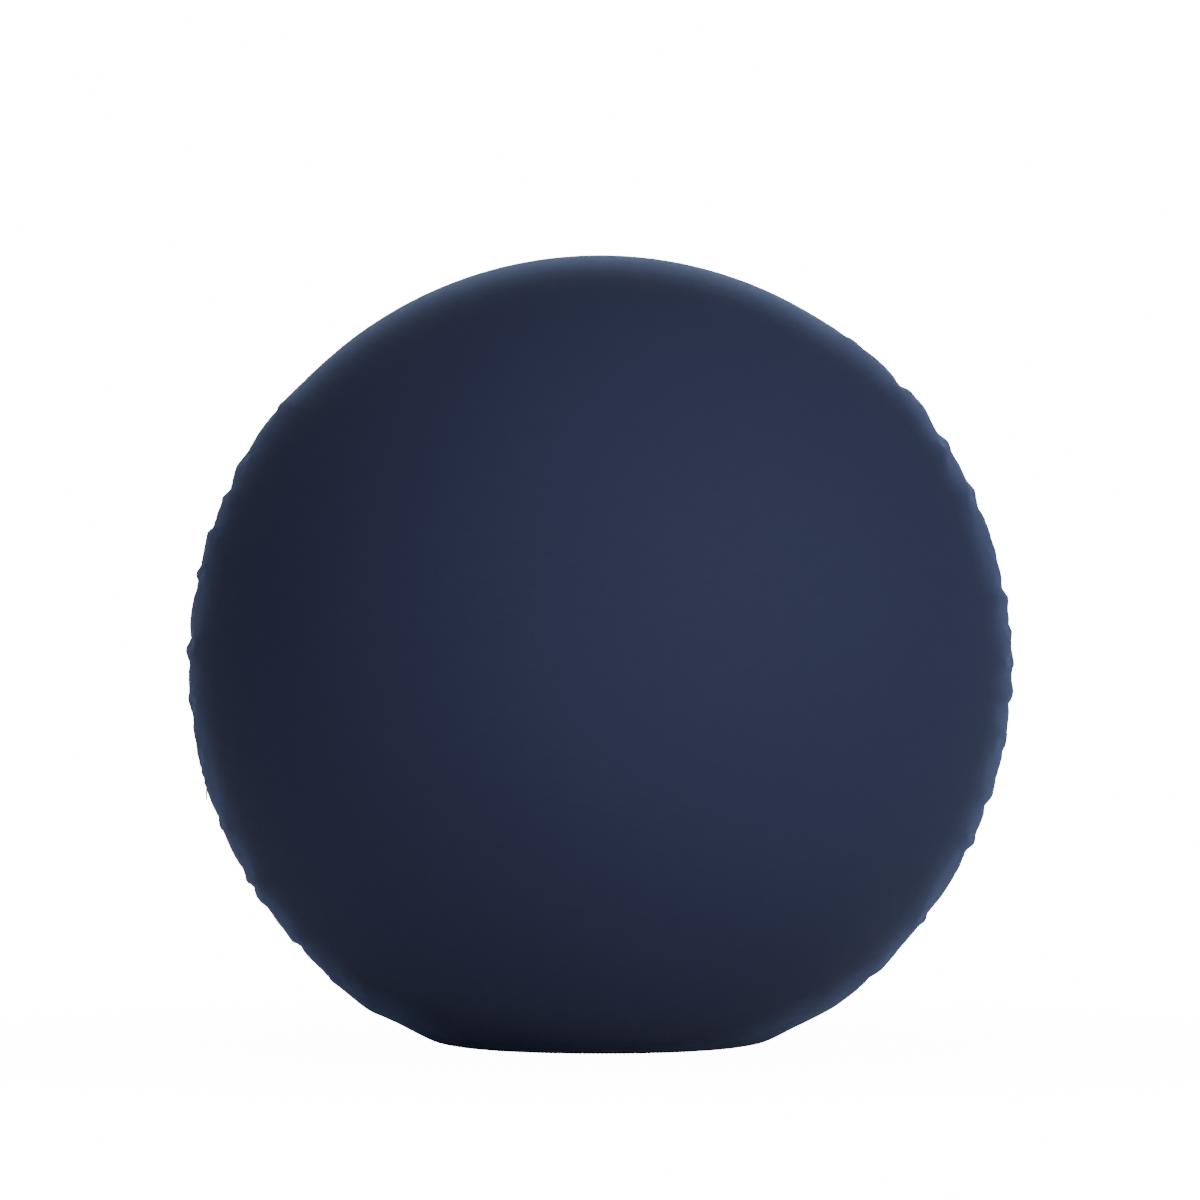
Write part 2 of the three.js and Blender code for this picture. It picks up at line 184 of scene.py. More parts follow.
class SeatStageSettings(bpy.types.PropertyGroup):
    """The camera, floor and lights."""

    camera_distance: FloatProperty(
        name="Camera distance", description="From the ball's middle to the camera", unit="LENGTH",
        default=5.1)
    camera_height: FloatProperty(
        name="Camera height", description="Height of the level camera", unit="LENGTH", default=0.352)
    lens: FloatProperty(
        name="Lens", description="Focal length on a 36 mm sensor, in millimetres", default=193)
    key_power: FloatProperty(
        name="Key light", description="Power of the front light", unit="POWER", default=110)
    fill_power: FloatProperty(
        name="Low fill", description="Power of the low front light", unit="POWER", default=22)
    back_power: FloatProperty(
        name="Back light", description="Power of the back light", unit="POWER", default=64)
    sky: FloatProperty(
        name="Sky strength", description="Strength of the even light from all sides", default=0.33)
    white: FloatProperty(
        name="Backdrop white", description="Brightness of the backdrop as the camera sees it", default=16)


# ---------------------------------------------------------------- mesh helpers


def new_object(name, points, faces, material, smooth=True):
    """A mesh object at the origin, linked to the scene, with one material."""
    mesh = bpy.data.meshes.new(name)
    mesh.from_pydata([tuple(p) for p in points], [], [tuple(int(i) for i in f) for f in faces])
    mesh.update()
    return link_mesh(name, mesh, material, smooth)


def link_mesh(name, mesh, material, smooth=True):
    """Links a mesh as an object of that name, with its faces smooth or flat."""
    mesh.name = name
    if material is not None:
        mesh.materials.clear()
        mesh.materials.append(material)
    mesh.polygons.foreach_set("use_smooth", [smooth] * len(mesh.polygons))
    made = bpy.data.objects.new(name, mesh)
    bpy.context.scene.collection.objects.link(made)
    return made


def bake_modifiers(made):
    """Applies an object's modifiers to its mesh."""
    bpy.context.view_layer.update()
    evaluated = made.evaluated_get(bpy.context.evaluated_depsgraph_get())
    mesh = bpy.data.meshes.new_from_object(evaluated)
    made.modifiers.clear()
    old = made.data
    made.data = mesh
    mesh.name = made.name
    bpy.data.meshes.remove(old)
    return made


def outwards(made):
    """Turns a closed mesh's faces outwards."""
    work = bmesh.new()
    work.from_mesh(made.data)
    bmesh.ops.recalc_face_normals(work, faces=work.faces[:])
    work.to_mesh(made.data)
    work.free()
    made.data.update()
    return made


def lathe(name, profile, material, turns=192, smooth=True):
    """A closed outline of (radius, height) points turned round the Z axis; one point where radius is 0."""
    points, rows, on_axis = [], [], 1e-9
    angles = np.linspace(0, 2 * math.pi, turns, endpoint=False)
    for radius, height in profile:
        if radius < on_axis:
            rows.append([len(points)] * turns)
            points.append((0, 0, height))
        else:
            rows.append(list(range(len(points), len(points) + turns)))
            points += [(radius * math.cos(a), radius * math.sin(a), height) for a in angles]
    hollow = profile[0][0] > on_axis
    faces = []
    for low, high in zip(rows, rows[1:] + rows[:1] if hollow else rows[1:]):
        for k in range(turns):
            quad = [low[k], low[(k + 1) % turns], high[(k + 1) % turns], high[k]]
            quad = [v for n, v in enumerate(quad) if v not in quad[:n]]
            if len(quad) > 2:
                faces.append(quad)
    return outwards(new_object(name, points, faces, material, smooth))


def rounded_section(low, high, rounding, steps=3):
    """A closed outline of a rectangle with rounded corners, as (across, up) pairs."""
    (x0, y0), (x1, y1) = low, high
    out = []
    for cx, cy, start in (
        (x1 - rounding, y1 - rounding, 0), (x0 + rounding, y1 - rounding, 90),
        (x0 + rounding, y0 + rounding, 180), (x1 - rounding, y0 + rounding, 270),
    ):
        for k in range(steps + 1):
            a = math.radians(start + 90 * k / steps)
            out.append((cx + rounding * math.cos(a), cy + rounding * math.sin(a)))
    return out


def seam_band(name, section, start, end, material, step=1.0):
    """A strip with a section of (y, radius) pairs, laid along the seam's circle from start to end."""
    count = max(3, int(abs(end - start) / step) + 1)
    points, faces, size = [], [], len(section)
    for angle in np.radians(np.linspace(start, end, count)):
        for y, radius in section:
            flat = math.sqrt(radius**2 - y**2)
            points.append((flat * math.cos(angle), y, CENTRE + flat * math.sin(angle)))
    for k in range(count - 1):
        for s in range(size):
            t = (s + 1) % size
            faces.append((k * size + s, k * size + t, (k + 1) * size + t, (k + 1) * size + s))
    faces.append(tuple(range(size)))
    faces.append(tuple((count - 1) * size + s for s in reversed(range(size))))
    made = outwards(new_object(name, points, faces, material))
    around = 2 * math.pi
    map_cloth(made, lambda x, y, z: (math.atan2(z - CENTRE, x) % around * BALL_RADIUS, y))
    return made


def map_cloth(made, flat):
    """Gives a piece a UV map in metres: flat turns a point into its place on the flat cloth."""
    layer = made.data.uv_layers.new(name="Cloth")
    for loop in made.data.loops:
        layer.data[loop.index].uv = flat(*made.data.vertices[loop.vertex_index].co)


def refined_copy(cad, name, material, bevel):
    """A smooth copy of a CAD node with rounded edges."""
    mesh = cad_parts[cad].data.copy()
    made = link_mesh(name, mesh, material)
    level_face, corner, crease = math.radians(0.5), math.radians(25), math.radians(30)
    work = bmesh.new()
    work.from_mesh(mesh)
    bmesh.ops.remove_doubles(work, verts=work.verts[:], dist=1e-6)
    bmesh.ops.dissolve_limit(work, angle_limit=level_face, verts=work.verts[:], edges=work.edges[:])
    work.to_mesh(mesh)
    work.free()
    edge = made.modifiers.new("Rounded edges", "BEVEL")
    edge.width, edge.segments, edge.limit_method, edge.angle_limit = bevel, 2, "ANGLE", corner
    edge.harden_normals = False
    bake_modifiers(made)
    made.data.polygons.foreach_set("use_smooth", [True] * len(made.data.polygons))
    work = bmesh.new()
    work.from_mesh(made.data)
    for line in work.edges:
        line.smooth = len(line.link_faces) != 2 or line.calc_face_angle(0) < crease
    work.to_mesh(made.data)
    work.free()
    return made


def finish_piece(made, body="ball", cad=None):
    """Hides the CAD node a piece replaces, if any, and hangs the piece on the empty of the body it rides on.
    """
    if cad:
        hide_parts(cad)
    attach(made, body)
    return made


# ---------------------------------------------------------------- the ball's shape and its gathers


def under_radius(fillet):
    """Radius of the flat under the ball, and the angle from straight down where its rounding ends."""
    flat = math.sqrt((BALL_RADIUS - fillet) ** 2 - (CENTRE - fillet) ** 2)
    return flat, math.atan2(flat, CENTRE - fillet)


def ball_surface(directions, fillet):
    """Points and outward normals of the smooth cover for unit directions from the ball's middle."""
    flat, meet = under_radius(fillet)
    down = np.arccos(np.clip(-directions[..., 2], -1, 1))
    length = flat + fillet * meet
    along = down / meet * length
    out, up = BALL_RADIUS * np.sin(down), CENTRE - BALL_RADIUS * np.cos(down)
    n_out, n_up = np.sin(down), -np.cos(down)
    on_flat = (down <= meet) & (along < flat)
    turn = np.clip((along - flat) / fillet, 0, None)
    on_round = (down <= meet) & ~on_flat
    out = np.where(on_flat, along, np.where(on_round, flat + fillet * np.sin(turn), out))
    up = np.where(on_flat, 0, np.where(on_round, fillet - fillet * np.cos(turn), up))
    n_out = np.where(on_flat, 0, np.where(on_round, np.sin(turn), n_out))
    n_up = np.where(on_flat, -1, np.where(on_round, -np.cos(turn), n_up))
    across = np.maximum(np.hypot(directions[..., 0], directions[..., 1]), 1e-12)
    cx, cy = directions[..., 0] / across, directions[..., 1] / across
    return (np.stack([out * cx, out * cy, up], -1), np.stack([n_out * cx, n_out * cy, n_up], -1))


BELT = math.pi / 4 * BALL_RADIUS
RING_SHARE = 0.88
TINY = 1e-6


def smooth_step(low, high, value):
    """0 below low, 1 above high, and a smooth ramp between."""
    t = np.clip((value - low) / (high - low), 0, 1)
    return t * t * (3 - 2 * t)


def off_angle(angle, middle):
    """How many degrees an angle on the seam's circle lies from another, the short way round."""
    return (angle - middle + 180) % 360 - 180


def ring_angle(fillet):
    """Angle from straight down at which the cover meets the base cloth."""
    flat, meet = under_radius(fillet)
    arc = flat + fillet * math.asin((PANEL_EDGE_RADIUS - flat) / fillet)
    return meet * arc / (flat + fillet * meet)


def directions_at(latitude, around):
    """Unit directions at an angle away from the seam's plane and an angle round the seam, in radians."""
    level = np.cos(latitude)
    return np.stack([level * np.cos(around), np.sin(latitude), level * np.sin(around)], -1)


def belt_grid(columns, rows, side, edge, fillet):
    """Directions of the belt of cover beside the seam: rows by distance from it, columns round the ball.

    Rows that pass under the ball are bent round the base, so one ring of the grid lies on the base seam.
    edge gives the panel edge's distance from the seam's middle at any angle. Returns the directions, the
    angle on the seam and distance from it of each, and how far out of the base each one is (1 on it).
    """
    around = np.arange(columns) / columns * 2 * math.pi
    quarter = (around + math.pi / 4) % (math.pi / 2) - math.pi / 4
    reach = BALL_RADIUS * np.arctan(np.cos(quarter))
    share = rows[:, None] / BELT
    latitude = side * rows[:, None] * (1 + (reach / BELT - 1)[None, :] * share) / BALL_RADIUS
    d = directions_at(latitude, around)
    base = ring_angle(fillet)
    from_bottom = (around - 1.5 * math.pi + math.pi) % (2 * math.pi) - math.pi
    half_columns = round(RING_SHARE * base / (2 * math.pi) * columns)
    half_row = rows[np.argmin(np.abs(rows - RING_SHARE * base * BALL_RADIUS))]
    out_of_base = np.maximum(
        np.abs(from_bottom)[None, :] / (half_columns / columns * 2 * math.pi), rows[:, None] / half_row)
    down = np.arccos(np.clip(-d[..., 2], -1, 1))
    pull = np.clip(2.0 - out_of_base, 0, 1)
    pull = pull * pull * (3 - 2 * pull)
    new_down = down * (1 - pull) + base * out_of_base * pull
    flat = np.maximum(np.hypot(d[..., 0], d[..., 1]), 1e-12)
    x, y, z = d[..., 0] / flat * np.sin(new_down), d[..., 1] / flat * np.sin(new_down), -np.cos(new_down)
    turn = np.arctan2(z, x)
    away = np.abs(np.arcsin(np.clip(y, -1, 1))) + edge(np.degrees(turn)) / BALL_RADIUS * (1 - share)
    return directions_at(side * away, turn), np.degrees(turn) % 360, away * BALL_RADIUS, out_of_base


GATHER_ANGLES = (141, 151, 156, 161, 167.6, 177.6, 184.9, 202.7, 211, 214, 222, 229, 236,
                 52, 41.5, 39, 33, 25.6, 9.5, 5, 0, -3.5, -11, -18.5, -25.6, -38, -47)


def first_creases(angle, distance, rng):
    """Heights of the small pointed ridges, square to the seam, that start the gathers."""
    height = np.zeros(np.broadcast(angle, distance).shape)
    reach = distance / MM
    for at in GATHER_ANGLES:
        along = np.radians(off_angle(angle, at)) * BALL_RADIUS / MM
        wide, long = rng.uniform(4.0, 7.5), rng.uniform(50, 110)
        tall, lean, bias = rng.uniform(1.5, 3.6), rng.uniform(-0.16, 0.16), rng.uniform(-0.45, 0.45)
        across = (along - lean * reach) / (wide * (1 + reach / 110))
        across = np.abs(across) / (1 + bias * np.sign(across))
        height += tall * np.exp(-(across ** 1.35)) * np.exp(-((reach / long) ** 2)) * reach / (reach + 3)
    return height * MM


def gathered_share(angle):
    """How much of the gathering is at each angle of the seam: little over the top, none at the base."""
    off_top, off_base = np.abs(off_angle(angle, 96)), np.abs(off_angle(angle, 270))
    least = 0.12
    return (least + (1 - least) * smooth_step(34, 50, off_top)) * smooth_step(25, 36, off_base)


SIM_COLUMNS = 512
SIM_ROWS = np.append(np.array([
    0, 4, 8, 12.5, 17.5, 23, 29, 35.5, 42.5, 50, 58, 67, 77, 88, 99, 109.5, 123, 138, 154, 171, 189, 208,
    230]) * MM, BELT)
SIM_STEPS = 24
SPARE_REACH = 95 * MM
EDGE_REACH = 9 * MM


def gather_field(settings):
    """Simulated heights and first creases on both sides, [side, row, column], and the columns' angles.

    The cover is cut longer than its seam. The belt starts at the ball's size with its seam held, its cloth
    is a little too long near the seam, and the air inside presses it out, so it rises in gathers there.
    """
    fillet = settings.base_fillet
    angle = np.arange(SIM_COLUMNS) / SIM_COLUMNS * 360
    rng = np.random.default_rng(settings.seed)
    grids, starts = [], []
    for side in (-1, 1):
        d, turn, distance, out = belt_grid(SIM_COLUMNS, SIM_ROWS, side, lambda turn: turn * 0, fillet)
        starts.append(first_creases(turn, distance, rng) * gathered_share(turn))
        grids.append((d, starts[-1], distance, out))
    d, start, dist, out = (np.concatenate([front[::-1], back[1:]]) for front, back in zip(*grids))
    points, normals = ball_surface(d, fillet)
    rows = d.shape[0]
    index = np.arange(rows * SIM_COLUMNS).reshape(rows, SIM_COLUMNS)
    right = np.roll(index, -1, 1)
    quads = np.stack([index[:-1], index[1:], right[1:], right[:-1]], -1).reshape(-1, 4)
    keep = out.reshape(-1) > 1 - TINY
    quads = quads[keep[quads].all(1)]
    p = (points + normals * start[..., None]).reshape(-1, 3)
    turn = np.cross(p[quads[:, 1]] - p[quads[:, 0]], p[quads[:, 2]] - p[quads[:, 0]])
    if (turn * normals.reshape(-1, 3)[quads[:, 0]]).sum() < 0:
        quads = quads[:, ::-1]
    used = np.flatnonzero(np.isin(np.arange(len(p)), quads))
    number = np.full(len(p), -1)
    number[used] = np.arange(len(used))
    belt = new_object("cloth_belt", p[used], number[quads], None)
    held = ((dist < 1e-9) | (out < 1 + TINY) | (dist > dist.max(0) - 1e-9)).reshape(-1)
    pin = belt.vertex_groups.new(name="held")
    pin.add([int(i) for i in number[used[held[used]]]], 1.0, "REPLACE")
    spare = np.exp(-((dist / SPARE_REACH) ** 2)) * gathered_share(angle)[None, :]
    cut = belt.vertex_groups.new(name="cut to size")
    for i, w in zip(number[used].tolist(), (1 - spare.reshape(-1)[used]).tolist()):
        cut.add([i], w, "REPLACE")
    cloth = belt.modifiers.new("Gathering", "CLOTH")
    knit = cloth.settings
    knit.quality, knit.mass, knit.air_damping = 4, 0.3, 1
    knit.tension_stiffness = knit.compression_stiffness = 15
    knit.shear_stiffness, knit.bending_stiffness = 5, 0.1
    knit.shrink_min, knit.shrink_max = -settings.spare_cloth, 0.0
    knit.vertex_group_shrink, knit.vertex_group_mass, knit.pin_stiffness = "cut to size", "held", 1
    knit.use_pressure, knit.uniform_pressure_force = True, 5
    knit.effector_weights.gravity = 0
    cloth.collision_settings.use_collision = False
    scene = bpy.context.scene
    last_frame = SIM_STEPS + 6
    scene.frame_start, scene.frame_end, cloth.point_cache.frame_end = 1, last_frame, last_frame
    for step in range(1, SIM_STEPS + 1):
        scene.frame_set(step)
    shaped = belt.evaluated_get(bpy.context.evaluated_depsgraph_get()).to_mesh()
    flat = np.zeros(len(shaped.vertices) * 3)
    shaped.vertices.foreach_get("co", flat)
    moved = points.reshape(-1, 3).copy()
    moved[used] = flat.reshape(-1, 3)
    belt.evaluated_get(bpy.context.evaluated_depsgraph_get()).to_mesh_clear()
    bpy.data.objects.remove(belt)
    scene.frame_set(1)
    rise = ((moved - points.reshape(-1, 3)) * normals.reshape(-1, 3)).sum(1).reshape(rows, SIM_COLUMNS)
    seam_row = len(SIM_ROWS) - 1
    return np.array([rise[seam_row::-1], rise[seam_row:]]), np.array(starts), angle


def tidy_gathers(both, creases, angle, settings):
    """Takes the broad swelling out of the simulated heights, adds the creases, and limits and fades them."""
    broad_degrees, swelling_share, simulated_share = 11, 0.95, 0.9
    window = np.exp(-0.5 * (off_angle(angle, 0) / broad_degrees) ** 2)
    window /= window.sum()
    wave = np.fft.rfft(both, axis=2)
    broad = np.fft.irfft(wave * np.fft.rfft(window), n=SIM_COLUMNS, axis=2)
    field = creases + (both - broad * swelling_share) * simulated_share
    near_seam = 1 - smooth_step(SPARE_REACH, 2 * SPARE_REACH, SIM_ROWS)
    field = field * (gathered_share(angle)[None, None, :] * near_seam[None, :, None])
    top, dip = settings.gather_height, 1.2 * MM
    return np.where(field > 0, top * np.tanh(field / top), dip * np.tanh(field / dip))


def read_gathers(field, side, angle, distance):
    """The gathers' heights at any angles (degrees) and distances from the seam, as a smooth surface.

    field is [side, row, column]. The curve through its values is a cubic in both directions.
    """
    angle, distance = np.broadcast_arrays(angle, distance)
    heights = field[0 if side < 0 else 1]
    slopes = np.gradient(heights, SIM_ROWS, axis=0)
    place = (angle % 360) / 360 * SIM_COLUMNS
    column = np.floor(place).astype(int)
    f = place - column

    def round_the_ring(table, row):
        a, b, c, e = (table[row, (column + k) % SIM_COLUMNS] for k in (-1, 0, 1, 2))
        return b + 0.5 * f * (c - a + f * (2 * a - 5 * b + 4 * c - e + f * (3 * (b - c) + e - a)))

    low = np.clip(np.searchsorted(SIM_ROWS, distance, side="right") - 1, 0, len(SIM_ROWS) - 2)
    gap = SIM_ROWS[low + 1] - SIM_ROWS[low]
    t = np.clip((distance - SIM_ROWS[low]) / gap, 0, 1)
    h0, h1 = round_the_ring(heights, low), round_the_ring(heights, low + 1)
    s0, s1 = round_the_ring(slopes, low), round_the_ring(slopes, low + 1)
    return ((2 * t**3 - 3 * t**2 + 1) * h0 + (t**3 - 2 * t**2 + t) * gap * s0
            + (-2 * t**3 + 3 * t**2) * h1 + (t**3 - t**2) * gap * s1)


def slot_share(angle):
    """1 beside the zip's slot, 0 beside the sewn seam, with a short taper at each end of the zip."""
    angle = np.asarray(angle) % 360
    return (smooth_step(SLOT_TOP - 0.3, SLOT_TOP + 1.0, angle)
            * (1 - smooth_step(SLOT_BOTTOM - 1.0, SLOT_BOTTOM + 0.3, angle)))


def panel_edge(angle):
    """Distance of the cover panel's edge from the seam's middle plane."""
    return SEAM_HALF + (SLOT_HALF - SEAM_HALF) * slot_share(angle)


def edge_dip(angle, from_edge, cover, zip_sizes, side):
    """How far the cloth sinks near its edge: a rolled shoulder at the seam, a tight fold at the zip."""
    zipped = slot_share(angle)
    turn = np.radians(angle)
    shoulder = cover.seam_shoulder * (1 + 0.25 * np.sin(turn * 37 + side) * np.sin(turn * 23 + 2 * side))
    at_seam = np.clip(1 - from_edge / shoulder, 0, 1)
    at_fold = np.clip(1 - from_edge / zip_sizes.fold_shoulder, 0, 1)
    seam = cover.seam_depth * (1 - np.sqrt(np.clip(1 - at_seam**2, 0, 1)))
    fold = zip_sizes.fold_depth * (1 - np.sqrt(np.clip(1 - at_fold**2, 0, 1)))
    groove_depth, groove_width = 0.45 * MM, 0.9 * MM
    stitched = groove_depth * np.exp(-(((from_edge - zip_sizes.topstitch_inset) / groove_width) ** 2))
    return seam * (1 - zipped) + (fold + stitched) * zipped


def small_ripples(angle, from_edge, side):
    """Fine ripples right at the edge, where the gathers are sewn down."""
    a = np.radians(angle)
    wave = (np.sin(a * 151 + 1.3 * side) + 0.8 * np.sin(a * 197 + 2.1 * side + np.sin(a * 9))
            + 0.6 * np.sin(a * 113 + side))
    return 0.09 * MM * wave * np.exp(-from_edge / EDGE_REACH) * gathered_share(angle)


def cover_height(field, side, angle, distance, cover, zip_sizes):
    """Height of the finished cover above the smooth ball."""
    from_edge = np.maximum(distance - panel_edge(angle), 0)
    gathers = read_gathers(field, side, angle, distance) * smooth_step(0, EDGE_REACH, from_edge + 1.5 * MM)
    ripples, dip = small_ripples(angle, from_edge, side), edge_dip(angle, from_edge, cover, zip_sizes, side)
    return gathers + ripples - dip


PANEL_FACE = 112
FINE_ROWS = 28
PANEL_ROWS = np.append(np.array([
    0, 0.12, 0.35, 0.75, 1.3, 2.0, 2.8, 3.6, 4.6, 6, 8, 10.5, 13.5, 17, 21, 25.5, 30.5, 36, 42, 48.5, 55.5,
    63, 71, 80, 89.5, 99.5, 109.5, 121, 134, 148, 163, 179, 196, 214, 233]) * MM, BELT)


def cloth_wall(outer, thickness):
    """Thickness of the cloth at points of its outer face: less over the seam's binding and at the base."""
    near_seam, room, thinnest = 14 * MM, 0.12 * MM, 0.25 * MM
    base_fold, base_seam, sewn = 20 * MM, 8 * MM, 0.9 * MM
    from_middle = np.linalg.norm(outer - np.array([0, 0, CENTRE]), axis=1)
    over_binding = from_middle - (BINDING_TOP + room)
    wall = np.full(len(outer), thickness)
    edge_room = np.where(np.abs(outer[:, 1]) < near_seam, over_binding, wall)
    thinned = np.clip(np.minimum(wall, edge_room), thinnest, None)
    wall = np.where(outer[:, 2] > base_fold, thinned, wall)
    return np.where(outer[:, 2] < base_seam, sewn, wall)


def cover_panel(name, side, field, cover, zip_sizes, material):
    """One half of the cover as closed cloth of its thickness, with a flat-cloth UV map in metres."""
    columns, fillet = 8 * PANEL_FACE, cover.base_fillet
    d, angle, distance, out = belt_grid(columns, PANEL_ROWS, side, panel_edge, fillet)
    height = cover_height(field, side, angle, distance, cover, zip_sizes)
    near_base, tucked = smooth_step(1.0, 1.12, out), 0.5 * MM
    height = height * near_base - tucked * (1 - near_base)
    rows = len(PANEL_ROWS)
    belt = np.arange(rows * columns).reshape(rows, columns)
    near, far = belt[:FINE_ROWS], belt[FINE_ROWS:, ::2]
    # a square grid closes the panel, with the belt's last row as its border
    n = PANEL_FACE
    cap = np.full((n + 1, n + 1), -1)
    for k in range(4 * n):
        face, i = divmod((k + n // 2) % (4 * n), n)
        a, b = ((n, i), (n - i, n), (0, n - i), (i, 0))[face]
        cap[a, b] = far[-1, k]
    t = np.tan(np.linspace(-1, 1, n + 1) * math.pi / 4)
    inner = [(a, b) for a in range(n + 1) for b in range(n + 1) if cap[a, b] < 0]
    extra = np.array([(t[a], side, t[b]) for a, b in inner])
    extra /= np.linalg.norm(extra, axis=1)[:, None]
    for m, (a, b) in enumerate(inner):
        cap[a, b] = rows * columns + m
    directions = np.concatenate([d.reshape(-1, 3), extra])
    heights = np.concatenate([height.reshape(-1), np.zeros(len(extra))])
    quads = np.concatenate([
        np.stack([g[:-1], g[1:], np.roll(g, -1, 1)[1:], np.roll(g, -1, 1)[:-1]], -1).reshape(-1, 4)
        for g in (near, far)])
    clear_of_base = np.append(out.reshape(-1) >= 1 - TINY, np.ones(len(extra), bool))
    quads = quads[clear_of_base[quads].all(1)]
    cap_quads = np.stack([cap[:-1, :-1], cap[1:, :-1], cap[1:, 1:], cap[:-1, 1:]], -1).reshape(-1, 4)
    points, normals = ball_surface(directions, fillet)
    outer = points + normals * heights[:, None]

    def facing_out(some):
        turn = np.cross(outer[some[:, 1]] - outer[some[:, 0]], outer[some[:, 2]] - outer[some[:, 0]])
        return some if (turn * normals[some[:, 0]]).sum() > 0 else some[:, ::-1]

    last, first = near[-1], far[0]
    step = np.stack([last[::2], last[1::2], np.roll(last[::2], -1), np.roll(first, -1), first], -1)
    quads, step = np.concatenate([facing_out(quads), facing_out(cap_quads)]), facing_out(step)
    used = np.unique(np.concatenate([quads.ravel(), step.ravel()]))
    number = np.full(len(outer), -1)
    number[used] = np.arange(len(used))
    skin = number[quads].tolist() + number[step].tolist()
    outer, normals, directions = outer[used], normals[used], directions[used]
    inner_skin = outer - normals * cloth_wall(outer, cover.thickness)[:, None]
    count = len(outer)
    edges = dict.fromkeys((a, b) for face in skin for a, b in zip(face, face[1:] + face[:1]))
    rim = [(b, a, a + count, b + count) for a, b in edges if (b, a) not in edges]
    faces = skin + [[v + count for v in reversed(face)] for face in skin] + rim
    made = new_object(name, np.concatenate([outer, inner_skin]), faces, material)
    flat_uv(made, np.concatenate([directions, directions]), side)
    return made


def flat_uv(made, directions, side):
    """UV map of the flat cloth: distance and direction from the panel's middle, in metres."""
    from_middle = np.arccos(np.clip(side * directions[:, 1], -1, 1)) * BALL_RADIUS
    across = np.maximum(np.hypot(directions[:, 0], directions[:, 2]), 1e-9)
    uv = directions[:, (0, 2)] * (from_middle / across)[:, None]
    layer = made.data.uv_layers.new(name="Cloth")
    loops = np.zeros(len(made.data.loops), int)
    made.data.loops.foreach_get("vertex_index", loops)
    layer.data.foreach_set("uv", uv[loops].astype(np.float32).ravel())


# ---------------------------------------------------------------- geometry nodes: threads, coil loops, dots


def node(tree, kind, **settings):
    """Adds a node with its settings."""
    made = tree.nodes.new(kind)
    for key, value in settings.items():
        setattr(made, key, value)
    return made


def socket(sockets, name):
    """The shown socket of that name."""
    return next(s for s in sockets if s.name == name and s.enabled)


def wire(tree, source, target, name):
    """Links an output to the named input, or sets it to a plain value."""
    place = socket(target.inputs, name)
    if isinstance(source, bpy.types.NodeSocket):
        tree.links.new(source, place)
    else:
        place.default_value = source


def math_node(tree, operation, *terms):
    """The result of a math node; each of its terms is a socket or a number."""
    made = node(tree, "ShaderNodeMath", operation=operation)
    for place, value in zip(made.inputs, terms):
        if isinstance(value, bpy.types.NodeSocket):
            tree.links.new(value, place)
        else:
            place.default_value = value
    return made.outputs[0]


def start_tree(name, inputs, result):
    """A geometry tree with a path or nothing in, named sizes in, and one geometry out."""
    tree = bpy.data.node_groups.new(name, "GeometryNodeTree")
    for label, kind, value in inputs:
        made = tree.interface.new_socket(label, in_out="INPUT", socket_type=kind)
        if value is not None:
            made.default_value = value
    tree.interface.new_socket(result, in_out="OUTPUT", socket_type="NodeSocketGeometry")
    return tree, node(tree, "NodeGroupInput"), node(tree, "NodeGroupOutput")


def finish_tree(tree, geometry, given, out):
    """Realizes the instances, sets the material and joins the output."""
    real = node(tree, "GeometryNodeRealizeInstances")
    painted = node(tree, "GeometryNodeSetMaterial")
    tree.links.new(geometry, socket(real.inputs, "Geometry"))
    tree.links.new(real.outputs[0], socket(painted.inputs, "Geometry"))
    tree.links.new(given.outputs["Material"], socket(painted.inputs, "Material"))
    tree.links.new(painted.outputs[0], out.inputs[0])


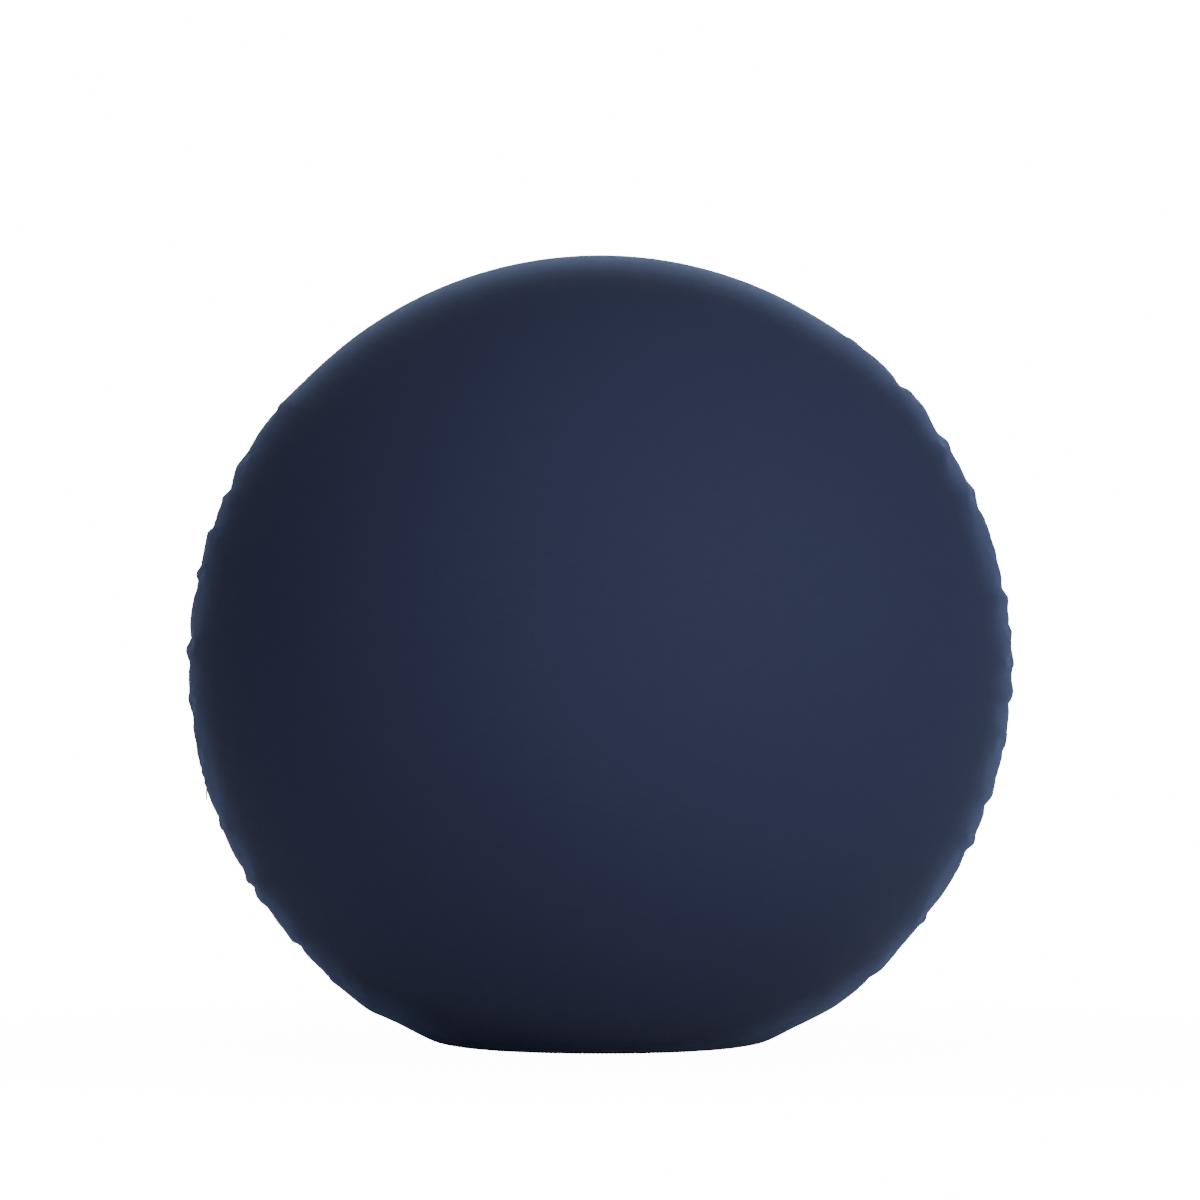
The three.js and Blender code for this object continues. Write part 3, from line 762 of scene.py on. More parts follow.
def thread_row_tree():
    """Bowed pieces of thread or wire at an even spacing along a path, each dipping in at both ends."""
    tree, given, out = start_tree("Thread row", (
        ("Path", "NodeSocketGeometry", None), ("Pitch", "NodeSocketFloat", 0.003),
        ("Length", "NodeSocketFloat", 0.002), ("Thread radius", "NodeSocketFloat", 0.0002),
        ("Rise", "NodeSocketFloat", 0.0003), ("Sink", "NodeSocketFloat", 0.0003),
        ("Unevenness", "NodeSocketFloat", 0.05), ("Seed", "NodeSocketInt", 3),
        ("Material", "NodeSocketMaterial", None)), "Threads")
    size = {s.name: s for s in given.outputs}
    calc = functools.partial(math_node, tree)
    curve = node(tree, "GeometryNodeMeshToCurve")
    even = node(tree, "GeometryNodeResampleCurve", mode="LENGTH")
    tree.links.new(size["Path"], curve.inputs[0])
    tree.links.new(curve.outputs[0], even.inputs["Curve"])
    wire(tree, size["Pitch"], even, "Length")
    ends = []
    half = calc("MULTIPLY", size["Length"], 0.5)
    sunk = calc("MULTIPLY", size["Sink"], -1.0)
    for sign in (-1.0, 1.0):
        end = node(tree, "ShaderNodeCombineXYZ")
        wire(tree, calc("MULTIPLY", half, sign), end, "X")
        wire(tree, sunk, end, "Z")
        ends.append(end)
    top = node(tree, "ShaderNodeCombineXYZ")
    wire(tree, calc("ADD", calc("MULTIPLY", size["Rise"], 2.0), size["Sink"]), top, "Z")
    bow = node(tree, "GeometryNodeCurveQuadraticBezier")
    wire(tree, 6, bow, "Resolution")
    for place, point in (("Start", ends[0]), ("Middle", top), ("End", ends[1])):
        wire(tree, point.outputs[0], bow, place)
    round_section = node(tree, "GeometryNodeCurvePrimitiveCircle", mode="RADIUS")
    wire(tree, 6, round_section, "Resolution")
    wire(tree, size["Thread radius"], round_section, "Radius")
    solid = node(tree, "GeometryNodeCurveToMesh")
    tree.links.new(bow.outputs[0], solid.inputs["Curve"])
    tree.links.new(round_section.outputs[0], solid.inputs["Profile Curve"])
    wire(tree, True, solid, "Fill Caps")
    turn = node(tree, "FunctionNodeAxesToRotation", primary_axis="Z", secondary_axis="X")
    for label, place in (("out", "Primary Axis"), ("along", "Secondary Axis")):
        read = node(tree, "GeometryNodeInputNamedAttribute", data_type="FLOAT_VECTOR")
        wire(tree, label, read, "Name")
        wire(tree, socket(read.outputs, "Attribute"), turn, place)
    uneven = node(tree, "FunctionNodeRandomValue", data_type="FLOAT")
    wire(tree, calc("SUBTRACT", 1.0, size["Unevenness"]), uneven, "Min")
    wire(tree, calc("ADD", 1.0, size["Unevenness"]), uneven, "Max")
    wire(tree, size["Seed"], uneven, "Seed")
    place = node(tree, "GeometryNodeInstanceOnPoints")
    tree.links.new(even.outputs[0], place.inputs["Points"])
    tree.links.new(solid.outputs[0], place.inputs["Instance"])
    tree.links.new(turn.outputs[0], place.inputs["Rotation"])
    tree.links.new(socket(uneven.outputs, "Value"), place.inputs["Scale"])
    finish_tree(tree, place.outputs[0], given, out)
    return tree


def dot_field_tree():
    """Low round dots in a honeycomb over a disc, pointing down."""
    tree, given, out = start_tree("Dot field", (
        ("Base", "NodeSocketGeometry", None), ("Dot spacing", "NodeSocketFloat", 0.0075),
        ("Dot radius", "NodeSocketFloat", 0.0017), ("Dot height", "NodeSocketFloat", 0.00045),
        ("Field radius", "NodeSocketFloat", 0.11), ("Cloth level", "NodeSocketFloat", 0.00045),
        ("Material", "NodeSocketMaterial", None)), "Dots")
    size = {s.name: s for s in given.outputs}
    calc = functools.partial(math_node, tree)
    row_gap = calc("MULTIPLY", size["Dot spacing"], math.sqrt(3) / 2)
    wide = calc("MULTIPLY", size["Field radius"], 2.0)
    counts = []
    for gap in (size["Dot spacing"], row_gap):
        steps = calc("CEIL", calc("DIVIDE", wide, gap))
        counts.append((calc("ADD", steps, 3.0), gap))
    grid = node(tree, "GeometryNodeMeshGrid")
    for (count, gap), length, number in zip(counts, ("Size X", "Size Y"), ("Vertices X", "Vertices Y")):
        wire(tree, count, grid, number)
        wire(tree, calc("MULTIPLY", calc("SUBTRACT", count, 1.0), gap), grid, length)
    where = node(tree, "GeometryNodeInputPosition")
    split = node(tree, "ShaderNodeSeparateXYZ")
    tree.links.new(where.outputs[0], split.inputs[0])
    half_rows = calc("MULTIPLY", calc("SUBTRACT", counts[1][0], 1.0), 0.5)
    row = calc("ROUND", calc("ADD", calc("DIVIDE", split.outputs[1], row_gap), half_rows))
    odd = calc("FLOORED_MODULO", row, 2.0)
    slide = node(tree, "ShaderNodeCombineXYZ")
    half_step = calc("MULTIPLY", odd, 0.5)
    wire(tree, calc("MULTIPLY", half_step, size["Dot spacing"]), slide, "X")
    wire(tree, size["Cloth level"], slide, "Z")
    move = node(tree, "GeometryNodeSetPosition")
    tree.links.new(grid.outputs[0], move.inputs["Geometry"])
    tree.links.new(slide.outputs[0], move.inputs["Offset"])
    after = node(tree, "GeometryNodeInputPosition")
    parts = node(tree, "ShaderNodeSeparateXYZ")
    tree.links.new(after.outputs[0], parts.inputs[0])
    squares = [calc("MULTIPLY", part, part) for part in parts.outputs[:2]]
    reach = calc("SQRT", calc("ADD", *squares))
    drop = node(tree, "GeometryNodeDeleteGeometry", domain="POINT")
    tree.links.new(move.outputs[0], drop.inputs["Geometry"])
    tree.links.new(calc("GREATER_THAN", reach, size["Field radius"]), drop.inputs["Selection"])
    ball = node(tree, "GeometryNodeMeshUVSphere")
    wire(tree, 10, ball, "Segments")
    wire(tree, 6, ball, "Rings")
    wire(tree, 1.0, ball, "Radius")
    shape = node(tree, "ShaderNodeCombineXYZ")
    for axis, label in (("X", "Dot radius"), ("Y", "Dot radius"), ("Z", "Dot height")):
        wire(tree, size[label], shape, axis)
    place = node(tree, "GeometryNodeInstanceOnPoints")
    tree.links.new(drop.outputs[0], place.inputs["Points"])
    tree.links.new(ball.outputs[0], place.inputs["Instance"])
    tree.links.new(shape.outputs[0], place.inputs["Scale"])
    finish_tree(tree, place.outputs[0], given, out)
    return tree


def grow(name, tree, points, outs, alongs, closed, material, **sizes):
    """Runs a tree on a path with its own directions, and returns the result as a plain mesh object.

    sizes are the tree's inputs, with underscores for the spaces in their names.
    """
    mesh = bpy.data.meshes.new(name + "_path")
    count = len(points)
    edges = [(k, k + 1) for k in range(count - 1)] + ([(count - 1, 0)] if closed else [])
    mesh.from_pydata([tuple(p) for p in points], edges, [])
    for label, vectors in (("out", outs), ("along", alongs)):
        layer = mesh.attributes.new(label, "FLOAT_VECTOR", "POINT")
        layer.data.foreach_set("vector", np.asarray(vectors, np.float32).ravel())
    path = bpy.data.objects.new(name + "_path", mesh)
    bpy.context.scene.collection.objects.link(path)
    modifier = path.modifiers.new("Row", "NODES")
    modifier.node_group = tree
    inputs = {item.name: item.identifier for item in tree.interface.items_tree if item.in_out == "INPUT"}
    for key, value in sizes.items():
        modifier[inputs[key.replace("_", " ")]] = value
    modifier[inputs["Material"]] = material
    bpy.context.view_layer.update()
    done = bpy.data.meshes.new_from_object(path.evaluated_get(bpy.context.evaluated_depsgraph_get()))
    bpy.data.objects.remove(path)
    bpy.data.meshes.remove(mesh)
    if len(done.polygons) == 0:
        raise RuntimeError(f"{name}: the tree made nothing")
    done.polygons.foreach_set("material_index", [0] * len(done.polygons))
    return link_mesh(name, done, material)


# ---------------------------------------------------------------- materials


def shader_group(name, inputs, outputs):
    """A shader node group with named inputs and outputs."""
    tree = bpy.data.node_groups.new(name, "ShaderNodeTree")
    for label, kind, value in inputs:
        made = tree.interface.new_socket(label, in_out="INPUT", socket_type=kind)
        if value is not None:
            made.default_value = value
    for label in outputs:
        tree.interface.new_socket(label, in_out="OUTPUT", socket_type="NodeSocketFloat")
    return tree, node(tree, "NodeGroupInput"), node(tree, "NodeGroupOutput")


def knit_group():
    """Columns of V-shaped knit loops: a height and a mask of the loops."""
    tree, given, out = shader_group("Knit loops", (
        ("Vector", "NodeSocketVector", None), ("Pitch", "NodeSocketFloat", 0.0011)), ("Height", "Loops"))
    calc = functools.partial(math_node, tree)
    split = node(tree, "ShaderNodeSeparateXYZ")
    tree.links.new(given.outputs["Vector"], split.inputs[0])
    across = calc("DIVIDE", split.outputs[0], given.outputs["Pitch"])
    up = calc("DIVIDE", split.outputs[1], calc("MULTIPLY", given.outputs["Pitch"], 0.8))
    off_middle = calc("SUBTRACT", calc("FRACT", across), 0.5)
    column = calc("MULTIPLY", calc("ABSOLUTE", off_middle), 2.0)
    lean = calc("ADD", up, calc("MULTIPLY", column, 0.55))
    wave = calc("COSINE", calc("MULTIPLY", lean, 2 * math.pi))
    loop = calc("MULTIPLY_ADD", wave, 0.5, 0.5)
    side = calc("SUBTRACT", 1.0, calc("POWER", column, 4.0))
    valley = calc("MINIMUM", calc("MULTIPLY", column, 5.0), 1.0)
    height = calc("MULTIPLY", calc("MULTIPLY", loop, side), valley)
    tree.links.new(height, out.inputs["Height"])
    tree.links.new(loop, out.inputs["Loops"])
    return tree


def weave_group():
    """Over-and-under weave: a height and a mask of the raised threads."""
    tree, given, out = shader_group("Plain weave", (
        ("Vector", "NodeSocketVector", None), ("Pitch", "NodeSocketFloat", 0.0008)), ("Height", "Raised"))
    calc = functools.partial(math_node, tree)
    split = node(tree, "ShaderNodeSeparateXYZ")
    tree.links.new(given.outputs["Vector"], split.inputs[0])
    turns = [calc("MULTIPLY", calc("DIVIDE", axis, given.outputs["Pitch"]), math.pi)
             for axis in split.outputs[:2]]
    over = calc("MULTIPLY", *(calc("SINE", turn) for turn in turns))
    raised = calc("GREATER_THAN", over, 0.0)
    height = calc("POWER", calc("ABSOLUTE", over), 0.5)
    tree.links.new(height, out.inputs["Height"])
    tree.links.new(raised, out.inputs["Raised"])
    return tree


def wear_group():
    """Broad and fine unevenness, each from 0 to 1, for colour, roughness and grain."""
    tree, given, out = shader_group("Unevenness", (
        ("Vector", "NodeSocketVector", None), ("Broad scale", "NodeSocketFloat", 6.0),
        ("Fine scale", "NodeSocketFloat", 400.0)), ("Broad", "Fine"))
    for label, scale, detail in (("Broad", "Broad scale", 3.0), ("Fine", "Fine scale", 2.0)):
        noise = node(tree, "ShaderNodeTexNoise")
        tree.links.new(given.outputs["Vector"], noise.inputs["Vector"])
        tree.links.new(given.outputs[scale], noise.inputs["Scale"])
        noise.inputs["Detail"].default_value = detail
        tree.links.new(noise.outputs["Fac"], out.inputs[label])
    return tree


def shared_group(name):
    """A shared shader group, built the first time it is asked for."""
    makers = {"Knit loops": knit_group, "Plain weave": weave_group, "Unevenness": wear_group}
    return bpy.data.node_groups.get(name) or makers[name]()


def placed_group(tree, name, vector, **values):
    """Places a shared group in a material with its own values."""
    made = node(tree, "ShaderNodeGroup", node_tree=shared_group(name))
    tree.links.new(vector, made.inputs["Vector"])
    for key, value in values.items():
        made.inputs[key.replace("_", " ")].default_value = value
    return made


def finish_material(name, colour, roughness, constants=None, texture=None, pitch=0.001, depth=0.0001,
                    colour_swing=0.15, rough_swing=0.05, broad=6.0, fine=400.0, grain=0.0):
    """A material with uneven colour and roughness, and a woven, knitted or grainy surface.

    texture is "Knit loops" or "Plain weave" on the cloth's own map, or None, with its pitch and depth. The
    texture's height also scales the colour, from 0.72 where it is low to 1.12 where it is high: the pattern's
    own tone and painted shade in its hollows.
    broad and fine are the scales of the unevenness, and grain is the depth of the fine one as a bump.
    """
    found = bpy.data.materials.get(name)
    if found:
        return found
    material = bpy.data.materials.new(name)
    material.use_nodes = True
    tree = material.node_tree
    shader = tree.nodes["Principled BSDF"]
    place = node(tree, "ShaderNodeTexCoord")
    uneven = placed_group(tree, "Unevenness", place.outputs["Object"], Broad_scale=broad, Fine_scale=fine)
    dark, light = [c * (1 - colour_swing) for c in colour], [c * (1 + colour_swing) for c in colour]
    mix = node(tree, "ShaderNodeMix", data_type="RGBA")
    tree.links.new(uneven.outputs["Broad"], mix.inputs["Factor"])
    mix.inputs[6].default_value, mix.inputs[7].default_value = (*dark, 1), (*light, 1)
    shade = mix.outputs[2]
    if texture:
        cloth = placed_group(tree, texture, place.outputs["UV"], Pitch=pitch)
        # the texture's height multiplies the colour: the pattern's own tone, and painted shade that darkens
        # its hollows and lightens its tops
        over = node(tree, "ShaderNodeMix", data_type="RGBA", blend_type="MULTIPLY")
        low = node(tree, "ShaderNodeMapRange")
        tree.links.new(cloth.outputs[0], low.inputs["Value"])
        low.inputs["To Min"].default_value, low.inputs["To Max"].default_value = 0.72, 1.12
        over.inputs["Factor"].default_value = 1.0
        tree.links.new(shade, over.inputs[6])
        tree.links.new(low.outputs[0], over.inputs[7])
        shade = over.outputs[2]
    tree.links.new(shade, shader.inputs["Base Color"])
    rough = node(tree, "ShaderNodeMapRange")
    tree.links.new(uneven.outputs["Fine"], rough.inputs["Value"])
    rough.inputs["To Min"].default_value = roughness - rough_swing
    rough.inputs["To Max"].default_value = roughness + rough_swing
    tree.links.new(rough.outputs[0], shader.inputs["Roughness"])
    normal = None
    for height, amount in ((uneven.outputs["Fine"], grain), (cloth.outputs[0] if texture else None, depth)):
        if height is None or amount <= 0:
            continue
        bump = node(tree, "ShaderNodeBump")
        bump.inputs["Strength"].default_value = 1.0
        bump.inputs["Distance"].default_value = amount
        tree.links.new(height, bump.inputs["Height"])
        if normal:
            tree.links.new(normal, bump.inputs["Normal"])
        normal = bump.outputs[0]
    if normal:
        tree.links.new(normal, shader.inputs["Normal"])
    for key, value in (constants or {}).items():
        shader.inputs[key].default_value = value
    return material


SOFT_SHEEN = {"Sheen Weight": 0.06, "Sheen Roughness": 0.18, "Sheen Tint": (0.4, 0.56, 1.0, 1),
              "Specular IOR Level": 0.12}


def cover_knit():
    """Fine navy stretch knit with a painted rim highlight: its base colour is mixed towards pale blue where
    the cloth is seen edge on.
    """
    sizes = bpy.context.scene.seat_cover
    known = bpy.data.materials.get("navy stretch knit")
    material = finish_material("navy stretch knit", sizes.colour, 0.72, SOFT_SHEEN, "Knit loops",
                               sizes.knit_pitch, 0.09 * MM, 0.07, 0.05, 3.0, 900.0, 0.02 * MM)
    if known:
        return material
    tree = material.node_tree
    shader = tree.nodes["Principled BSDF"]
    colour = shader.inputs["Base Color"].links[0].from_socket
    # painted rim highlight: the Layer Weight's facing value mixes the base colour up to a pale blue (0.13,
    # 0.19, 0.38) towards the outline, standing in for the light the knit catches edge on
    edge_on, painted_rim_highlight = node(tree, "ShaderNodeLayerWeight"), node(tree, "ShaderNodeMapRange")
    tree.links.new(edge_on.outputs["Facing"], painted_rim_highlight.inputs["Value"])
    painted_rim_highlight.interpolation_type = "SMOOTHSTEP"
    painted_rim_highlight.inputs["From Min"].default_value, painted_rim_highlight.inputs["From Max"].default_value = 0.64, 1.0
    painted_rim_highlight.inputs["To Max"].default_value = 0.55
    mix = node(tree, "ShaderNodeMix", data_type="RGBA")
    tree.links.new(painted_rim_highlight.outputs[0], mix.inputs["Factor"])
    tree.links.new(colour, mix.inputs[6])
    mix.inputs[7].default_value = (0.13, 0.19, 0.38, 1)
    tree.links.new(mix.outputs[2], shader.inputs["Base Color"])
    return material


def sewing_thread():
    """Navy sewing thread."""
    return finish_material("navy sewing thread", (0.02, 0.03, 0.062), 0.55, {"Sheen Weight": 0.3},
                           colour_swing=0.1, fine=3000.0, grain=0.03 * MM)


def zip_tape_cloth():
    """Woven zip tape."""
    return finish_material("navy zip tape", (0.012, 0.016, 0.03), 0.7, {"Sheen Weight": 0.2}, "Plain weave",
                           0.7 * MM, 0.08 * MM, 0.08)


def coil_plastic():
    """Navy coil wire."""
    return finish_material("navy coil plastic", (0.014, 0.018, 0.034), 0.34, {"Specular IOR Level": 0.55},
                           colour_swing=0.08, fine=1500.0, grain=0.01 * MM)


def bright_metal():
    """Polished nickel plate on die-cast zinc, a little rubbed."""
    return finish_material("nickel plate", (0.62, 0.61, 0.6), 0.24, {"Metallic": 1.0}, colour_swing=0.06,
                           rough_swing=0.1, broad=300.0, fine=2500.0, grain=0.008 * MM)


def binding_cloth():
    """Woven seam binding."""
    return finish_material("seam binding", (0.02, 0.024, 0.034), 0.78, {"Sheen Weight": 0.2}, "Plain weave",
                           0.9 * MM, 0.1 * MM, 0.1)


def base_cloth():
    """Dense woven base cloth."""
    sizes = bpy.context.scene.seat_base
    return finish_material("base cloth", sizes.colour, 0.8, {"Sheen Weight": 0.15}, "Plain weave", 1.0 * MM,
                           0.12 * MM, 0.12)


def dot_rubber():
    """Matt anti-slip rubber."""
    return finish_material("anti-slip rubber", (0.01, 0.01, 0.011), 0.62, fine=1200.0, grain=0.03 * MM)


def bladder_vinyl():
    """Grey inflated vinyl."""
    return finish_material("grey vinyl", (0.2, 0.21, 0.22), 0.42, {"Coat Weight": 0.15}, colour_swing=0.05,
                           broad=5.0, fine=700.0, grain=0.05 * MM)


def valve_plastic():
    """White valve plastic."""
    return finish_material("white valve plastic", (0.72, 0.72, 0.69), 0.45, colour_swing=0.03,
                           fine=1500.0, grain=0.02 * MM)


def plate_plastic():
    """Black moulded base plate."""
    return finish_material("black moulded plastic", (0.02, 0.02, 0.021), 0.5, colour_swing=0.1,
                           fine=1100.0, grain=0.06 * MM)


def ring_steel():
    """Zinc-plated steel ring."""
    return finish_material("zinc-plated steel", (0.5, 0.5, 0.49), 0.38, {"Metallic": 1.0},
                           colour_swing=0.12, rough_swing=0.12, broad=40.0, fine=900.0, grain=0.02 * MM)


def pad_foam():
    """Grey closed-cell foam."""
    return finish_material("grey foam", (0.12, 0.12, 0.125), 0.9, colour_swing=0.12, broad=60.0,
                           fine=600.0, grain=0.25 * MM)


def repaint(node_name, material):
    """Gives a CAD node that stays its finish."""
    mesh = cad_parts[node_name].data
    mesh.materials.clear()
    mesh.materials.append(material)


# ---------------------------------------------------------------- operators, one for each piece or group


state = {}
SIDES = ((-1, "front"), (1, "back"))


class SEAT_OT_cover(bpy.types.Operator):
    """Makes the two gathered halves of the knit cover"""

    bl_idname = "seat.cover"
    bl_label = "Cover panels"

    def execute(self, context):
        cover, zip_sizes = context.scene.seat_cover, context.scene.seat_zip
        state["gathers"] = tidy_gathers(*gather_field(cover), cover)
        for side, name in SIDES:
            made = cover_panel(f"cover_{name}", side, state["gathers"], cover, zip_sizes, cover_knit())
            finish_piece(made, cad=f"cover_{name}_panel")
        return {"FINISHED"}


def cover_line(angles, side, from_edge, cover, zip_sizes, settle=0.0):
    """Points, outward normals and directions of travel along the cover at a distance from its edge."""
    distance = panel_edge(angles) + from_edge
    height = cover_height(state["gathers"], side, angles, distance, cover, zip_sizes)
    d = directions_at(side * distance / BALL_RADIUS, np.radians(angles))
    points, normals = ball_surface(d, cover.base_fillet)
    points = points + normals * (height + settle)[..., None]
    travel = np.gradient(points, axis=0)
    travel /= np.linalg.norm(travel, axis=1)[:, None]
    return points, normals, travel


class SEAT_OT_seam_stitches(bpy.types.Operator):
    """Sews the side seam with a ladder of small stitches"""

    bl_idname = "seat.seam_stitches"
    bl_label = "Side seam stitches"

    def execute(self, context):
        cover, zip_sizes = context.scene.seat_cover, context.scene.seat_zip
        state["thread_tree"] = thread_row_tree()
        base = math.degrees(ring_angle(cover.base_fillet))
        off_zip, off_base, beside_seam = 0.6, 1.0, 0.55 * MM
        runs = ((SLOT_BOTTOM + off_zip, 270 - base - off_base),
                (270 + base + off_base, 360 + SLOT_TOP - off_zip))
        parts = []
        for start, end in runs:
            angles = np.linspace(start, end, max(8, int(abs(end - start) * 3)))
            points, normals, _ = cover_line(angles, -1, beside_seam, cover, zip_sizes)
            points[:, 1] = 0
            across = np.tile((0.0, 1.0, 0.0), (len(points), 1))
            parts.append(grow(
                f"side_seam_run_{len(parts)}", state["thread_tree"], points, normals, across, False,
                sewing_thread(),
                Pitch=cover.stitch_pitch, Length=1.9 * MM, Rise=0.12 * MM, Sink=0.28 * MM, Seed=11,
                Unevenness=0.06, Thread_radius=0.17 * MM))
        finish_piece(join("side_seam_stitches", parts))
        return {"FINISHED"}


def join(name, parts):
    """Joins several meshes into one piece."""
    work = bmesh.new()
    for part in parts:
        work.from_mesh(part.data)
    mesh = bpy.data.meshes.new(name)
    work.to_mesh(mesh)
    work.free()
    mesh.polygons.foreach_set("material_index", [0] * len(mesh.polygons))
    material = parts[0].data.materials[0]
    for part in parts:
        old = part.data
        bpy.data.objects.remove(part)
        bpy.data.meshes.remove(old)
    return link_mesh(name, mesh, material)


class SEAT_OT_zip_cloth(bpy.types.Operator):
    """Makes the zip's two tapes and the topstitching that holds the folded cover edges to them"""

    bl_idname = "seat.zip_cloth"
    bl_label = "Zip tapes and topstitching"

    def execute(self, context):
        cover, zip_sizes = context.scene.seat_cover, context.scene.seat_zip
        off_end, raised = 0.8, 0.08 * MM
        angles = np.linspace(SLOT_TOP + off_end, SLOT_BOTTOM - off_end, 200)
        for side, word in SIDES:
            low, high = sorted(side * y for y in TAPE_YS)
            section = rounded_section((low, TAPE_RADII[0] + SETTLE), (high, TAPE_RADII[1]), 0.2 * MM)
            tape = seam_band(f"zip_tape_cloth_{word}", section, *TAPE_ANGLES, zip_tape_cloth())
            finish_piece(tape, cad=f"zip_tape_{word}")
            points, normals, travel = cover_line(
                angles, side, zip_sizes.topstitch_inset, cover, zip_sizes, raised)
            stitches = grow(
                f"zip_topstitch_{word}", state["thread_tree"], points, normals, travel, False,
                sewing_thread(), Pitch=zip_sizes.topstitch_pitch, Length=2.5 * MM, Rise=0.16 * MM,
                Sink=0.3 * MM, Seed=21, Unevenness=0.05, Thread_radius=zip_sizes.thread_radius)
            finish_piece(stitches)
        return {"FINISHED"}


class SEAT_OT_zip_teeth(bpy.types.Operator):
    """Makes the two rows of coil loops"""

    bl_idname = "seat.zip_teeth"
    bl_label = "Zip coil"

    def execute(self, context):
        zip_sizes = context.scene.seat_zip
        level = sum(COIL_RADII) / 2
        reach = COIL_YS[1] - 0.1 * MM
        cord_near, cord_far, cord_height = 1.2 * MM, 2.0 * MM, 0.6 * MM
        for side, word in SIDES:
            # the back row's loops stand between the front row's
            shift = zip_sizes.loop_pitch / 2 / level if side > 0 else 0.0
            angles = np.radians(np.linspace(*COIL_ANGLES, 160)) + shift
            angles = angles[: -1 if side > 0 else None]
            outs = directions_at(np.zeros(len(angles)), angles)
            points = outs * level + np.array([0, side * (reach / 2 + 0.05 * MM), CENTRE])
            across = np.tile((0.0, float(side), 0.0), (len(points), 1))
            coil = grow(
                f"zip_coil_loops_{word}", state["thread_tree"], points, outs, across, False,
                coil_plastic(), Pitch=zip_sizes.loop_pitch, Length=reach - 0.4 * MM, Rise=0.35 * MM,
                Sink=0.35 * MM, Seed=5, Unevenness=0.0, Thread_radius=zip_sizes.wire_radius)
            low, high = sorted((side * cord_near, side * cord_far))
            bottom = COIL_RADII[0] + SETTLE
            section = rounded_section((low, bottom), (high, bottom + cord_height), 0.15 * MM)
            cord = seam_band(f"zip_coil_core_{word}", section, *COIL_ANGLES, coil_plastic())
            finish_piece(join(f"zip_teeth_{word}", [coil, cord]), cad=f"zip_coil_{word}")
        return {"FINISHED"}


class SEAT_OT_zip_hardware(bpy.types.Operator):
    """Makes the slider, its pull and the stops, with rounded edges"""

    bl_idname = "seat.zip_hardware"
    bl_label = "Zip slider, pull and stops"

    def execute(self, context):
        for cad, name, body, bevel in (
            ("zip_slider", "zip_slider_body", "slider", 0.22), ("zip_pull", "zip_pull_tab", "pull", 0.2),
            ("zip_top_stop_front", "zip_stop_top_front", "ball", 0.2),
            ("zip_top_stop_back", "zip_stop_top_back", "ball", 0.2),
            ("zip_bottom_stop", "zip_stop_bottom", "ball", 0.2),
        ):
            finish_piece(refined_copy(cad, name, bright_metal(), bevel * MM), body, cad)
        return {"FINISHED"}


class SEAT_OT_base(bpy.types.Operator):
    """Makes the base cloth, its anti-slip dots, the base seam and its binding"""

    bl_idname = "seat.base"
    bl_label = "Base"

    def execute(self, context):
        base, cover = context.scene.seat_base, context.scene.seat_cover
        level = base.dot_height
        flat, _ = under_radius(cover.base_fillet)
        r, top = SOLE_RADIUS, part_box("base_panel")[1].z
        rolled_edge = [(r - inward * MM, level + rise * MM) for inward, rise in (
            (2, 0.12), (0.7, 0.3), (0.1, 0.7))]
        profile = [(0, level), (r * 0.5, level), (flat + 1 * MM, level), *rolled_edge,
                   (r - 0.1 * MM, top - 0.2 * MM), (r - 0.4 * MM, top), (r * 0.5, top), (0, top)]
        sole = lathe("base_cloth_disc", profile, base_cloth())
        map_cloth(sole, lambda x, y, z: (x, y))
        finish_piece(sole, cad="base_panel")
        dots = grow(
            "base_grip_dots", dot_field_tree(), [(0, 0, 0), (0.01, 0, 0)], [(0, 0, 1)] * 2, [(1, 0, 0)] * 2,
            False, dot_rubber(), Dot_spacing=base.dot_pitch, Dot_radius=base.dot_radius,
            Dot_height=base.dot_height, Field_radius=flat - 2 * MM, Cloth_level=level)
        finish_piece(dots)
        count, radius = 240, r - 3.2 * MM
        turn = np.linspace(0, 2 * math.pi, count, endpoint=False)
        ring = np.column_stack([
            radius * np.cos(turn), radius * np.sin(turn), np.full(count, level + 0.03 * MM)])
        along = np.column_stack([-np.sin(turn), np.cos(turn), np.zeros(count)])
        stitches = grow(
            "base_seam_stitches", state["thread_tree"], ring, np.tile((0.0, 0.0, -1.0), (count, 1)), along,
            True, sewing_thread(), Pitch=3.4 * MM, Length=2.7 * MM, Rise=0.14 * MM, Sink=0.25 * MM, Seed=31,
            Unevenness=0.05, Thread_radius=0.18 * MM)
        finish_piece(stitches)
        low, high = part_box("base_seam_binding")
        inner = np.hypot(*corners("base_seam_binding")[:, :2].T).min()
        section = rounded_section((inner + 0.1 * MM, low.z), (high.x, high.z), 0.3 * MM)
        finish_piece(
            lathe("base_binding_tape", section, binding_cloth()), cad="base_seam_binding")
        return {"FINISHED"}


def bladder_skin(radius, floor, inset):
    """The outline of one skin of the bladder, (radius, height) points from its flat underside to its top."""
    size, rounding, base = radius - inset, 9 * MM - inset, floor + inset
    flat = math.sqrt((size - rounding) ** 2 - (CENTRE - base - rounding) ** 2)
    meet = math.atan2(flat, CENTRE - base - rounding)
    weld_groove, weld_spread = (0.0 if inset else 0.35 * MM), 0.02
    skin = [(0, base), (flat * 0.5, base)]
    for a in np.linspace(0, meet, 7):
        skin.append((flat + rounding * math.sin(a), base + rounding * (1 - math.cos(a))))
    for a in np.linspace(meet, math.pi, 91)[1:-1]:
        reach = size - weld_groove * math.exp(-(((a - math.pi / 2) / weld_spread) ** 2))
        skin.append((reach * math.sin(a), CENTRE - reach * math.cos(a)))
    return skin + [(0, CENTRE + size)]


